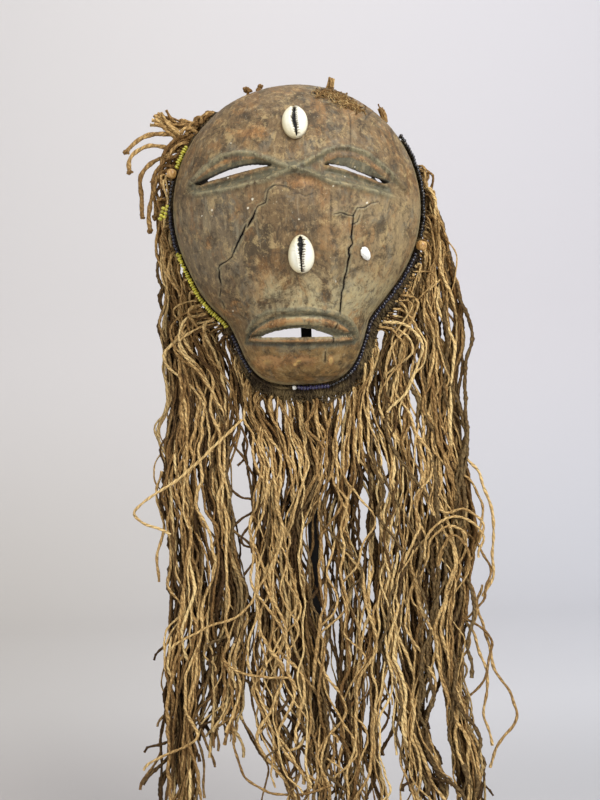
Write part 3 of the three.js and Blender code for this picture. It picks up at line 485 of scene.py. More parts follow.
class MaskSettings(bpy.types.PropertyGroup):
    """All settings of the mask."""

    gourd: bpy.props.PointerProperty(type=GourdSettings)
    fringe: bpy.props.PointerProperty(type=FringeSettings)
    trim: bpy.props.PointerProperty(type=TrimSettings)
    stage: bpy.props.PointerProperty(type=StageSettings)


# Shapes in numbers


def smooth(low, high, value):
    """0 below low, 1 above high, and a soft rise between."""
    share = np.clip((value - low) / (high - low), 0, 1)
    return share * share * (3 - 2 * share)


def bell(distance, width):
    """1 at no distance, falling off over the width."""
    return np.exp(-((distance / width) ** 2))


def half_width(rise, side):
    """Half the gourd's width at a height above its bulb's centre, on the given side."""
    jowl = np.where(side < 0, JOWL_SWELL * np.exp(-(((rise + JOWL_DROP) / JOWL_SPAN) ** 2)), 0)
    bulb = np.sqrt(np.maximum(0, BULB_RADIUS**2 - rise**2))
    low = np.clip((-rise - CHIN_DROP) / CHIN_HEIGHT, 0, 1)
    rounding = (1 - low**CHIN_ROUNDNESS) ** (1 / CHIN_ROUNDNESS)
    chin = (CHIN_HALF_WIDTH + CHIN_TAPER * (rise + CHIN_DROP)) * rounding
    mix = np.maximum(CHEEK_BLEND - np.abs(bulb - chin), 0) / CHEEK_BLEND
    lower = np.maximum(bulb, chin) + mix * mix * CHEEK_BLEND / 4 + jowl
    return np.where(rise > -CHIN_DROP / 2, bulb + jowl, lower)


def outline_radius(angle):
    """Distance from the bulb's centre to the rim, at an angle clockwise from the top, in radians."""
    angle = np.asarray(angle, float)
    low = np.full(angle.shape, 0.9 * BULB_RADIUS)
    high = np.full(angle.shape, CHIN_DROP + CHIN_HEIGHT + 8)
    for _ in range(30):
        middle = (low + high) / 2
        rise, across = middle * np.cos(angle), middle * np.sin(angle)
        inside = (rise < BULB_RADIUS) & (rise > -(CHIN_DROP + CHIN_HEIGHT))
        inside &= np.abs(across) < half_width(rise, across)
        low, high = np.where(inside, middle, low), np.where(inside, high, middle)
    return low


def face_y(x, z, offset=0.0):
    """Depth of the gourd's surface, or of a surface at an offset outside it."""
    spread = 1 + offset / BULB_RADIUS
    across, rise = (x - CENTRE_X) / spread, (z - CENTRE_Z) / spread
    reach = np.where(rise > 0, BULB_RADIUS, CHIN_DROP + CHIN_HEIGHT)
    middle = np.sqrt(np.maximum(0, 1 - (rise / reach) ** 2))
    side = np.sqrt(np.maximum(0, 1 - (across / np.maximum(half_width(rise, across), 1e-3)) ** 2))
    return -(FACE_DEPTH + offset) * middle * side


def rim_point(degrees, outward, y):
    """A point beside the rim, at an angle clockwise from the top."""
    angle = math.radians(degrees)
    radius = float(outline_radius(angle)) + outward
    return np.array([CENTRE_X + radius * math.sin(angle), y, CENTRE_Z + radius * math.cos(angle)])


def band_reach(degrees):
    """How far the band stands out past the rim."""
    chin = math.exp(-(((degrees - BAND_CHIN_ANGLE) / BAND_CHIN_SPAN) ** 2))
    return BAND_SIDE_REACH + (BAND_CHIN_REACH - BAND_SIDE_REACH) * chin


def lattice_noise(x, z, size, seed):
    """Smooth noise from -1 to 1 over cells of the given size."""
    table = np.random.default_rng(seed).uniform(-1, 1, (256, 256))
    u, v = np.asarray(x) / size, np.asarray(z) / size
    column, row = np.floor(u).astype(int), np.floor(v).astype(int)
    a, b = smooth(0, 1, u - column), smooth(0, 1, v - row)
    near = table[column % 256, row % 256] * (1 - a) + table[(column + 1) % 256, row % 256] * a
    far = table[column % 256, (row + 1) % 256] * (1 - a) + table[(column + 1) % 256, (row + 1) % 256] * a
    return near * (1 - b) + far * b


def height_on(line, x):
    """Height of a carved line over x."""
    points = np.array(line, float)
    return np.interp(x, points[:, 0], points[:, 1])


def distance_to(line, x, z):
    """Distance to a line, and the share of its length at the nearest point."""
    points = np.array(line, float)
    steps = np.hypot(*np.diff(points, axis=0).T)
    starts = np.concatenate([[0], np.cumsum(steps)])
    best = np.full(np.shape(x), 1e9)
    share = np.zeros(np.shape(x))
    for at, (start, end) in enumerate(zip(points[:-1], points[1:])):
        along = (x - start[0]) * (end[0] - start[0]) + (z - start[1]) * (end[1] - start[1])
        along = np.clip(along / max(steps[at] ** 2, 1e-9), 0, 1)
        gap = np.hypot(x - start[0] - along * (end[0] - start[0]), z - start[1] - along * (end[1] - start[1]))
        closer = gap < best
        best = np.where(closer, gap, best)
        share = np.where(closer, (starts[at] + along * steps[at]) / starts[-1], share)
    return best, share


def drift(z, start, size, table):
    """Slow noise down a cord."""
    return lattice_noise(z + start, 0 * z, size, table)


def catmull(points, count):
    """Evenly spaced points on a smooth curve through the given ones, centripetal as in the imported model."""
    points = np.array(points, float)
    points = np.vstack([2 * points[0] - points[1], points, 2 * points[-1] - points[-2]])
    dense = []
    for parts in zip(points, points[1:], points[2:], points[3:]):
        steps = [max(np.linalg.norm(b - a), 1e-6) ** 0.5 for a, b in zip(parts, parts[1:])]
        knots = np.cumsum([0] + steps)
        t = np.linspace(knots[1], knots[2], 24, endpoint=False)[:, None]
        for spans in (((0, 1), (1, 2), (2, 3)), ((0, 2), (1, 3)), ((1, 2),)):
            parts = [
                one + (two - one) * (t - knots[low]) / (knots[high] - knots[low])
                for one, two, (low, high) in zip(parts, parts[1:], spans)
            ]
        dense.append(parts[0])
    return evenly(np.vstack(dense + [points[-2]]), count)


def evenly(points, count):
    """The same line with evenly spaced points."""
    reach = np.concatenate([[0], np.cumsum(np.linalg.norm(np.diff(points, axis=0), axis=1))])
    at = np.linspace(0, reach[-1], count)
    return np.stack([np.interp(at, reach, points[:, axis]) for axis in range(3)], axis=1)


def line_length(points):
    """Length of a line of points."""
    return float(np.linalg.norm(np.diff(points, axis=0), axis=1).sum())


# Node trees and materials


class Wire:
    """One output of a node tree, which adds Math nodes when it is used in an expression."""

    def __init__(self, tree, socket):
        self.tree, self.socket = tree, socket

    def math(self, operation, *values):
        return self.tree.node("ShaderNodeMath", {"operation": operation}, dict(enumerate(values)))

    def __add__(self, other):
        return self.math("ADD", self, other)

    def __radd__(self, other):
        return self.math("ADD", other, self)

    def __sub__(self, other):
        return self.math("SUBTRACT", self, other)

    def __rsub__(self, other):
        return self.math("SUBTRACT", other, self)

    def __mul__(self, other):
        return self.math("MULTIPLY", self, other)

    def __rmul__(self, other):
        return self.math("MULTIPLY", other, self)

    def __truediv__(self, other):
        return self.math("DIVIDE", self, other)

    def __rtruediv__(self, other):
        return self.math("DIVIDE", other, self)


class Tree:
    """A node tree under construction."""

    def __init__(self, tree):
        self.tree = tree

    def node(self, kind, settings=None, values=None, output=0):
        """Adds a node: its settings first, then the values or links of its inputs."""
        made = self.tree.nodes.new(kind)
        for key, value in (settings or {}).items():
            setattr(made, key, value)
        for key, value in (values or {}).items():
            if isinstance(value, Wire):
                self.tree.links.new(value.socket, made.inputs[key])
            else:
                made.inputs[key].default_value = value
        return Wire(self, made.outputs[output]) if made.outputs else made


class Finish(Tree):
    """A material made of nodes."""

    def __init__(self, name):
        self.material = bpy.data.materials.new(name)
        self.material.use_nodes = True
        super().__init__(self.material.node_tree)
        self.tree.nodes.clear()
        self.place = self.node("ShaderNodeTexCoord", output=3)

    def noise(self, scale, detail=3.0, rough=0.55, warp=0.0, stretch=None, vector=None):
        """Noise from 0 to 1, on object coordinates that may be stretched."""
        if stretch:
            vector = self.node("ShaderNodeVectorMath", {"operation": "MULTIPLY"}, {0: self.place, 1: stretch})
        values = {"Scale": scale, "Detail": detail, "Roughness": rough, "Distortion": warp}
        return self.node("ShaderNodeTexNoise", {}, {"Vector": vector or self.place, **values})

    def cells(self, scale):
        """Distance to scattered points."""
        return self.node("ShaderNodeTexVoronoi", {}, {"Vector": self.place, "Scale": scale})

    def span(self, value, low, high, to_low=0.0, to_high=1.0):
        """A soft step of a value from low to high."""
        return self.node(
            "ShaderNodeMapRange", {"interpolation_type": "SMOOTHSTEP"},
            {"Value": value, "From Min": low, "From Max": high, "To Min": to_low, "To Max": to_high},
        )

    def mix(self, share, first, second):
        """A mix of two colours."""
        return self.node(
            "ShaderNodeMix", {"data_type": "RGBA", "clamp_factor": True}, {0: share, 6: first, 7: second}, output=2,
        )

    def coats(self, base, *coats):
        """Lays coats over a colour: a value, where it starts and is full, the coat's strength and its colour."""
        for value, low, high, strength, colour in coats:
            base = self.mix(self.span(value, low, high) * strength, base, colour)
        return base

    def attribute(self, name, output=2):
        """A number stored on the mesh."""
        return self.node("ShaderNodeAttribute", {"attribute_name": name}, output=output)

    def split(self, vector):
        """The three parts of a vector."""
        made = self.node("ShaderNodeSeparateXYZ", {}, {0: vector}).socket.node
        return [Wire(self, socket) for socket in made.outputs]

    def bump(self, height, distance, strength=1.0):
        """A normal from a height."""
        return self.node("ShaderNodeBump", {}, {"Height": height, "Distance": distance, "Strength": strength})

    def done(self, colour, rough, normal=None, **constants):
        """Ends the material in one shader and gives it back."""
        values = {"Base Color": colour, "Roughness": rough, **constants}
        if normal is not None:
            values["Normal"] = normal
        shader = self.node("ShaderNodeBsdfPrincipled", {}, values)
        self.node("ShaderNodeOutputMaterial", {}, {0: shader})
        return self.material


def gourd_finish(settings):
    """Weathered gourd skin, with worn wood, dusty grooves, and painted shade in the cracks and cuts, from the mesh's
    attributes.
    """
    f = Finish("gourd_skin")
    x, _, z = f.split(f.place)
    broad = f.noise(9, 3, 0.55)
    blotch = f.noise(42, 8, 0.72, 1.1)
    stain = f.noise(88, 7, 0.75, 0.8, (1, 1, 0.8))
    fleck = f.noise(250, 5, 0.7, 0.4)
    streak = f.noise(150, 5, 0.7, 0.2, (1, 1, 0.2))
    fibre = f.noise(430, 5, 0.7, 0, (1, 1, 0.17))
    grain = f.noise(1300, 4, 0.7, 0, (1, 1, 0.6))
    dark, grey, tan, rust = srgb(66, 53, 34), srgb(110, 107, 92), srgb(190, 164, 112), srgb(150, 106, 56)

    # The cheeks, the middle of the lower face, the chin and the left jaw each have their own cast; the paler right
    # cheek is partly painted light.
    below_brow = f.span(z + (broad - 0.5) * 0.02, 0.548, 0.522)
    right = f.span(x + (broad - 0.5) * 0.06, 0.0, 0.06)
    left = f.span(x + (broad - 0.5) * 0.07, -0.01, -0.055)
    low = f.span(z + (blotch - 0.5) * 0.06, 0.49, 0.456) * f.span(z, 0.431, 0.437)
    low = low * f.span(x + (blotch - 0.5) * 0.03, -0.05, -0.028)
    chin = f.span(z, 0.432, 0.427)
    jaw = f.span(z + (broad - 0.5) * 0.03, 0.492, 0.462) * f.span(x + (blotch - 0.5) * 0.03, -0.03, -0.052)
    skin = f.mix(f.span(blotch, 0.38, 0.62), settings.skin, srgb(102, 80, 50))
    for share, colour in (
        (left * below_brow * 0.8, settings.skin_dark), (right * below_brow * 0.85, settings.skin_dust_and_light),
        (low * f.span(blotch, 0.62, 0.44) * 0.85, srgb(186, 172, 130)), (chin * 0.8, srgb(148, 116, 66)),
        (jaw * 0.7, srgb(112, 88, 56)),
    ):
        skin = f.mix(share, skin, colour)

    # Smoke, dust and rubbed places in ever finer layers.
    wear, recess, pale = f.attribute("wear"), f.attribute("recess"), f.attribute("pale")
    worn = f.mix(f.span(stain + (fleck - 0.5) * 0.6, 0.42, 0.6), srgb(122, 88, 52), settings.worn)
    skin = f.coats(
        skin,
        (blotch, 0.52, 0.6, 0.72, dark),
        # Grey patches: partly grey dust, partly a painted sheen.
        (f.noise(52, 7, 0.7, 0.6, (1, 1.3, 0.8)), 0.53, 0.62, 0.5, grey),
        (f.noise(27, 6, 0.65, 0.5, (1.5, 1, 0.7)), 0.55, 0.66, 0.42, rust),
        (stain, 0.53, 0.62, 0.5, tan),
        (stain, 0.46, 0.38, 0.55, dark),
        (f.noise(75, 6, 0.7, 0.5, (1, 1, 0.6)), 0.53, 0.63, 0.4, srgb(156, 112, 62)),
        (f.noise(115, 6, 0.7, 0.3, (1, 1, 0.5)), 0.46, 0.38, 0.5, srgb(58, 47, 32)),
        (wear + (blotch - 0.5) * 2.2 + (fleck - 0.5) * 1.2, 0.45, 0.95, 0.85, worn),
        (wear + (fleck - 0.5) * 0.8, 0.8, 1.15, 0.7, srgb(188, 144, 92)),
        (wear, 1.3, 1.7, 0.85, srgb(216, 178, 106)),
        (recess + (stain - 0.5) * 1.6 + (fleck - 0.5) * 1.0, 0.35, 0.95, 0.85, settings.recess),
    )
    # Pale skin: dust, and a painted highlight on the ridge crests, the lip ridge and the rim.
    skin = f.mix(pale * f.span(fleck + (streak - 0.5), 0.36, 0.54) * 0.85, skin, srgb(156, 146, 110))
    skin = f.coats(
        skin,
        (fleck, 0.54, 0.64, 0.45, srgb(178, 152, 106)),
        (fleck, 0.46, 0.35, 0.65, dark),
        (streak, 0.55, 0.7, 0.2, tan),
        (fibre, 0.47, 0.34, 0.38, dark),
        (fibre, 0.58, 0.7, 0.16, srgb(178, 160, 120)),
        (grain, 0.6, 0.72, 0.35, srgb(196, 178, 136)),
        (grain, 0.4, 0.3, 0.4, dark),
    )
    specks = f.span(f.cells(380), 0.1, 0.05) * f.span(f.noise(75, 3), 0.53, 0.62)
    skin = f.mix(specks * 0.85, skin, srgb(222, 212, 184))
    for turn, scale in ((0.7, 230), (-0.5, 170)):
        tilted = f.node(
            "ShaderNodeMapping", {}, {"Vector": f.place, "Rotation": (0.0, turn, 0.0), "Scale": (1.0, 1.0, 0.12)},
        )
        scratch = f.span(f.noise(scale, 2, 0.5, vector=tilted), 0.66, 0.72)
        skin = f.mix(scratch * 0.14, skin, srgb(190, 176, 138))
    skin = f.coats(skin, (f.attribute("fleck"), 0.3, 0.7, 0.85, srgb(224, 216, 192)))

    lining = f.mix(f.span(fibre, 0.4, 0.6), srgb(120, 88, 52), srgb(86, 62, 38))
    skin = f.mix(f.attribute("inside"), skin, lining)
    # Painted shade darkens the cracks, slits, grooves and cuts; a little of this mark is soot.
    skin = f.mix(f.attribute("soot"), skin, settings.soot)
    rough = f.span(blotch, 0.35, 0.65, 0.46, 0.7)
    height = fibre * 0.5 + grain * 0.35 + streak * 0.3 + stain * 0.5 + fleck * 0.4 - scratch * 0.3
    return f.done(skin, rough, f.bump(height, 0.0007, 0.8), **{"Specular IOR Level": 0.4})


def cord_finish(settings):
    """Two-ply twisted vegetable fibre, with painted shade in the crease and in the depth of a lock."""
    f = Finish("cord_fibre")
    tone = f.attribute("cord_tone")
    side = f.split(f.attribute("cord_side", output=1))
    around = f.node("ShaderNodeMath", {"operation": "ARCTAN2"}, {0: side[1], 1: side[0]})
    lay = around + f.attribute("cord_along") * (2 * math.pi / settings.twist)
    fibre = f.noise(1500, 3, 0.6, 0, (1, 1, 0.4))
    patch, knobs = f.noise(45, 3, 0.6), f.noise(420, 3, 0.6)
    crease = f.span(f.node("ShaderNodeMath", {"operation": "SINE"}, {0: lay * 2.0 + (knobs - 0.5) * 5.0}), 0.1, 0.9)
    bright = f.span(tone + (patch - 0.5) * 0.9 + (fibre - 0.5) * 0.8 + (knobs - 0.5) * 1.2, 0.1, 0.95)
    sunlit = f.span(tone + (patch - 0.5) * 0.6 + (knobs - 0.5) * 1.0, 0.5, 1.1)
    colour = f.mix(bright, settings.dark, settings.middle)
    colour = f.mix(sunlit, colour, settings.light)
    # Painted shade in the crease between the plies.
    colour = f.mix(crease * f.span(knobs, 0.35, 0.6) * 0.6, colour, srgb(74, 50, 26))
    colour = f.coats(colour, (fibre, 0.55, 0.72, 0.3, srgb(226, 192, 130)))
    # Painted shade deep in a lock and in the dark pockets of the fringe.
    colour = f.mix(f.attribute("cord_depth") * 0.85, colour, srgb(42, 25, 12))
    return f.done(colour, 0.85, f.bump(fibre + knobs - crease * 0.8, 0.0006, 0.9), **{"Specular IOR Level": 0.2})


def glass_finish(name, colour, glint):
    """Small worn glass beads."""
    f = Finish(name)
    dust = f.span(f.noise(500, 3), 0.5, 0.7)
    deep = tuple(0.45 * c for c in tuple(colour)[:3]) + (1.0,)
    base = f.mix(f.attribute("bead_tone"), colour, deep)
    base = f.mix(dust * 0.35, base, srgb(120, 104, 78))
    return f.done(base, dust * 0.35 + glint, f.bump(dust, 0.0001), **{"Coat Weight": 0.3})


def shell_finish(settings):
    """Cowrie shell, yellower to one edge, with painted shade in its aperture and stained teeth."""
    f = Finish("cowrie_shell")
    stain = f.span(f.noise(260, 4, 0.6), 0.45, 0.7)
    base = f.mix(f.attribute("edge"), settings.shell, srgb(238, 226, 184))
    base = f.mix(stain * 0.2, base, srgb(214, 190, 140))
    base = f.mix(f.attribute("groove") * 0.9, base, srgb(84, 60, 34))
    # The aperture is painted near black as the shade inside the shell.
    base = f.mix(f.attribute("gap"), base, srgb(16, 12, 8))
    return f.done(base, f.span(stain, 0, 1, 0.32, 0.5), f.bump(stain, 0.0001, 0.5), **{"Coat Weight": 0.15})


def chip_finish():
    """A chalky white chip with a few dark specks."""
    f = Finish("chip_white")
    base = f.coats(
        srgb(246, 245, 238),
        (f.cells(700), 0.1, 0.04, 0.7, srgb(120, 100, 76)), (f.noise(300, 3), 0.5, 0.75, 0.3, srgb(214, 206, 186)),
    )
    return f.done(base, 0.45, f.bump(f.noise(600, 3), 0.0002, 0.6))


def wood_finish(settings):
    """Turned wood with fine growth lines."""
    f = Finish("bead_wood")
    lines = f.noise(900, 3, 0.6, 0, (1, 1, 0.2))
    base = f.mix(f.span(lines, 0.4, 0.65), settings.wood, srgb(160, 110, 58))
    base = f.coats(base, (f.noise(260, 3), 0.5, 0.7, 0.5, srgb(126, 86, 46)))
    return f.done(base, 0.42, f.bump(lines, 0.0002, 0.5), **{"Coat Weight": 0.2})


def band_finish(settings):
    """Dusty dark cord of the band."""
    f = Finish("band_fibre")
    fibre = f.noise(1200, 3, 0.6, 0, (1, 1, 0.5))
    dirt = f.span(f.noise(70, 3) + (fibre - 0.5) * 0.8, 0.3, 0.62)
    base = f.mix(dirt, settings.band, srgb(46, 36, 25))
    base = f.coats(base, (fibre, 0.55, 0.75, 0.4, srgb(140, 122, 88)))
    return f.done(base, 0.88, f.bump(fibre, 0.0005, 0.9), **{"Specular IOR Level": 0.15})


def stand_finish(settings):
    """Black satin paint on steel, with faint mottling."""
    f = Finish("stand_paint")
    mottle = f.noise(300, 4, 0.6)
    base = f.mix(f.span(mottle, 0.4, 0.7), settings.stand, srgb(34, 31, 29))
    return f.done(base, f.span(mottle, 0.3, 0.7, 0.38, 0.52), f.bump(mottle, 0.0001, 0.5), Metallic=0.3)


# Mesh building


def placed(name, data):
    """A new object in the scene."""
    made = bpy.data.objects.new(name, data)
    bpy.context.scene.collection.objects.link(made)
    return made


def evaluated(piece):
    """The mesh of a piece with its modifiers."""
    return bpy.data.meshes.new_from_object(piece.evaluated_get(bpy.context.evaluated_depsgraph_get()))


def point_values(mesh, name, values):
    """Stores a number for each point of a mesh."""
    mesh.attributes.new(name, "FLOAT", "POINT").data.foreach_set("value", np.asarray(values, np.float32))


def mesh_piece(name, vertices, faces, material, attributes=None):
    """A mesh object from points in millimetres."""
    mesh = bpy.data.meshes.new(name)
    mesh.from_pydata((np.asarray(vertices, float) * MM).tolist(), [], [list(face) for face in faces])
    for key, values in (attributes or {}).items():
        point_values(mesh, key, values)
    mesh.materials.append(material)
    mesh.shade_smooth()
    mesh.update()
    return placed(name, mesh)


def settle(piece, slot, *nodes):
    """A finished piece rides on the body and stands for its nodes, which are hidden; the slot is not used."""
    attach(piece, BODY)
    if nodes:
        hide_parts(*nodes)
    return piece


def joined(name, pieces):
    """Joins pieces into the first one."""
    first = pieces[0]
    with bpy.context.temp_override(active_object=first, selected_editable_objects=pieces, selected_objects=pieces):
        bpy.ops.object.join()
    first.name = name
    return first


def loft_faces(rings, sides):
    """Faces between rings of points, with both ends capped."""
    faces = []
    for ring in range(rings - 1):
        for side in range(sides):
            a, b = ring * sides + side, ring * sides + (side + 1) % sides
            faces.append((a, b, b + sides, a + sides))
    return faces + [tuple(reversed(range(sides))), tuple(range((rings - 1) * sides, rings * sides))]


def numbered(cells, first=0):
    """Numbers of the points of a square grid."""
    return np.arange((cells + 1) ** 2).reshape(cells + 1, cells + 1) + first


def squares(grid):
    """Corners of the faces of a square grid, from the numbers of its points."""
    corners = [grid[:-1, :-1], grid[1:, :-1], grid[1:, 1:], grid[:-1, 1:]]
    return np.stack([corner.ravel() for corner in corners], axis=1)


def border(grid):
    """Numbers around the edge of a square grid, in order."""
    return np.concatenate([grid[:-1, 0], grid[-1, :-1], grid[:0:-1, -1], grid[0, :0:-1]])


def disc(cells):
    """A square grid bent into a unit disc: how far each point is across, up, and from the middle."""
    side = np.linspace(-1, 1, cells + 1)
    a, b = np.meshgrid(side, side, indexing="ij")
    wide = np.abs(a) >= np.abs(b)
    radius = np.where(wide, a, b)
    safe = np.where(np.abs(radius) < 1e-12, 1, radius)
    turn = np.where(wide, math.pi / 4 * b / safe, math.pi / 2 - math.pi / 4 * a / safe)
    return radius * np.cos(turn), radius * np.sin(turn), np.abs(radius)


class Growth(Tree):
    """A Geometry Nodes tree that turns path meshes into pieces."""

    def __init__(self, name, inputs):
        group = bpy.data.node_groups.new(name, "GeometryNodeTree")
        super().__init__(group)
        group.interface.new_socket("Geometry", in_out="OUTPUT", socket_type="NodeSocketGeometry")
        group.interface.new_socket("Geometry", in_out="INPUT", socket_type="NodeSocketGeometry")
        self.keys = {}
        for label, (kind, default) in inputs.items():
            socket = group.interface.new_socket(label, in_out="INPUT", socket_type=f"NodeSocket{kind}")
            if default is not None:
                socket.default_value = default
            self.keys[label] = socket.identifier
        self.start = group.nodes.new("NodeGroupInput")

    def given(self, label):
        """One of the tree's own inputs."""
        return Wire(self, self.start.outputs[label])

    def named(self, name):
        """A number stored on the incoming points."""
        return self.node("GeometryNodeInputNamedAttribute", {"data_type": "FLOAT"}, {"Name": name})

    def store(self, geometry, name, value, kind="FLOAT", domain="POINT"):
        """Stores a value on the geometry."""
        return self.node(
            "GeometryNodeStoreNamedAttribute", {"data_type": kind, "domain": domain},
            {"Geometry": geometry, "Name": name, "Value": value},
        )

    def end(self, geometry):
        """Realizes instances, sets the material and ends the tree."""
        real = self.node("GeometryNodeRealizeInstances", {}, {0: geometry})
        soft = self.node("GeometryNodeSetShadeSmooth", {}, {0: real})
        final = self.node("GeometryNodeSetMaterial", {}, {"Geometry": soft, "Material": self.given("Material")})
        self.node("NodeGroupOutput", {}, {0: final})
        return self

    def grow(self, name, lines, values, attributes=None):
        """Grows a piece from lines of points in millimetres, with one list of numbers for each attribute."""
        points = np.vstack(lines) * MM
        edges, first = [], 0
        for line in lines:
            edges += [(first + at, first + at + 1) for at in range(len(line) - 1)]
            first += len(line)
        mesh = bpy.data.meshes.new(name)
        mesh.from_pydata(points.tolist(), edges, [])
        for key, numbers in (attributes or {}).items():
            spread = np.concatenate([np.broadcast_to(value, len(line)) for value, line in zip(numbers, lines)])
            point_values(mesh, key, spread)
        holder = placed(name + "_lines", mesh)
        modifier = holder.modifiers.new("grow", "NODES")
        modifier.node_group = self.tree
        for label, value in values.items():
            modifier[self.keys[label]] = value
        made = evaluated(holder)
        bpy.data.objects.remove(holder)
        bpy.data.meshes.remove(mesh)
        made.name = name
        return placed(name, made)


def cord_tree():
    """Sweeps a twisted two-ply section along each line."""
    g = Growth("twisted_cord", {
        "Diameter": ("Float", 0.0028), "Twist": ("Float", 0.0095), "Ply Depth": ("Float", 0.78),
        "Step": ("Float", 0.002), "Sides": ("Int", 6), "Material": ("Material", None),
    })
    curve = g.node("GeometryNodeMeshToCurve", {}, {0: g.given("Geometry")})
    curve = g.node("GeometryNodeResampleCurve", {"mode": "LENGTH"}, {"Curve": curve, "Length": g.given("Step")})
    run = g.node("GeometryNodeSplineParameter", output=1)
    turn = run * 2.0 / g.given("Twist") + g.named("cord_phase")
    curve = g.node("GeometryNodeSetCurveTilt", {}, {"Curve": curve, "Tilt": turn})
    curve = g.store(curve, "cord_along", run)
    ring = g.node(
        "GeometryNodeCurvePrimitiveCircle", {"mode": "RADIUS"}, {"Resolution": g.given("Sides"), "Radius": 1.0},
    )
    spot = g.node("GeometryNodeInputPosition")
    ring = g.store(ring, "cord_side", spot, kind="FLOAT_VECTOR")
    half = g.given("Diameter") * 0.5
    shape = g.node("ShaderNodeCombineXYZ", {}, {0: half, 1: half * g.given("Ply Depth"), 2: half})
    ring = g.node("GeometryNodeTransform", {}, {"Geometry": ring, "Scale": shape})
    tube = g.node(
        "GeometryNodeCurveToMesh", {},
        {"Curve": curve, "Profile Curve": ring, "Scale": g.named("cord_width"), "Fill Caps": True},
    )
    return g.end(tube)


def bead_tree():
    """Strings small round beads along each line."""
    g = Growth("bead_string", {
        "Pitch": ("Float", 0.002), "Radius": ("Float", 0.0015), "Length": ("Float", 0.002),
        "Variation": ("Float", 0.1), "Seed": ("Int", 1), "Material": ("Material", None),
    })
    curve = g.node("GeometryNodeMeshToCurve", {}, {0: g.given("Geometry")})
    holder = g.node("GeometryNodeCurveToPoints", {"mode": "LENGTH"}, {"Curve": curve, "Length": g.given("Pitch")})
    turn = Wire(g, holder.socket.node.outputs["Rotation"])
    ball = g.node("GeometryNodeMeshUVSphere", {}, {"Segments": 8, "Rings": 6, "Radius": 1.0})
    size = g.node(
        "FunctionNodeRandomValue", {"data_type": "FLOAT"},
        {2: 1 - g.given("Variation"), 3: 1 + g.given("Variation"), "Seed": g.given("Seed")}, output=1,
    )
    across = size * g.given("Radius")
    shape = g.node("ShaderNodeCombineXYZ", {}, {0: across, 1: across, 2: size * g.given("Length") * 0.5})
    beads = g.node(
        "GeometryNodeInstanceOnPoints", {}, {"Points": holder, "Instance": ball, "Rotation": turn, "Scale": shape},
    )
    tone = g.node("FunctionNodeRandomValue", {"data_type": "FLOAT"}, {2: 0.0, 3: 1.0, "Seed": 5}, output=1)
    return g.end(g.store(beads, "bead_tone", tone, domain="INSTANCE"))


class Shop:
    """Trees and materials that several pieces share, made once."""

    made = {}

    @classmethod
    def get(cls, name, make):
        if name not in cls.made:
            cls.made[name] = make()
        return cls.made[name]


def settings_of(context):
    """The mask's settings."""
    return context.scene.gourd_mask


def cord_piece(name, lines, attributes, settings, step, sides=6, diameter=None, material=None):
    """One piece of twisted cords."""
    fringe = settings.fringe
    tree = Shop.get("cord_tree", cord_tree)
    look = material or Shop.get("cord", lambda: cord_finish(fringe))
    values = {
        "Diameter": diameter or fringe.diameter, "Twist": fringe.twist, "Step": step, "Sides": sides,
        "Material": look,
    }
    plain = {"cord_width": 1.0, "cord_phase": 0.0, "cord_tone": 0.5, "cord_depth": 0.0}
    filled = {key: attributes.get(key, [value] * len(lines)) for key, value in plain.items()}
    return tree.grow(name, lines, values, filled)


def kinked(points, draw, size, reach):
    """The line with irregular soft kinks sideways, none at its start."""
    run = np.concatenate([[0], np.cumsum(np.linalg.norm(np.diff(points, axis=0), axis=1))])
    knots = np.cumsum(draw.uniform(0.6, 1.5, int(run[-1] / (0.6 * reach)) + 4) * reach) - reach
    moved = points.copy()
    for axis, share in ((0, 1.0), (1, 0.6), (2, 0.2)):
        wave = np.interp(run, knots, draw.normal(0, size * share, len(knots)))
        wave = np.convolve(np.pad(wave, 2, mode="edge"), (0.1, 0.2, 0.4, 0.2, 0.1), mode="valid")
        moved[:, axis] += wave * smooth(0, 12, run)
    return moved


def knot_line(at, draw, size):
    """A small tight knot around a point."""
    turn = np.linspace(0, 2 * math.pi, 26)
    loop = [np.sin(turn) + 2 * np.sin(2 * turn), np.cos(turn) - 2 * np.cos(2 * turn), -np.sin(3 * turn)]
    spin = Matrix.Rotation(draw.uniform(0, 6.3), 3, Vector(draw.normal(size=3)).normalized())
    return np.array(at) + (np.stack(loop, axis=1) @ np.array(spin)) * size * 0.33


# Pieces


class MaskOperator(bpy.types.Operator):
    """Common ground of the mask's operators."""

    bl_options = {"REGISTER", "UNDO"}


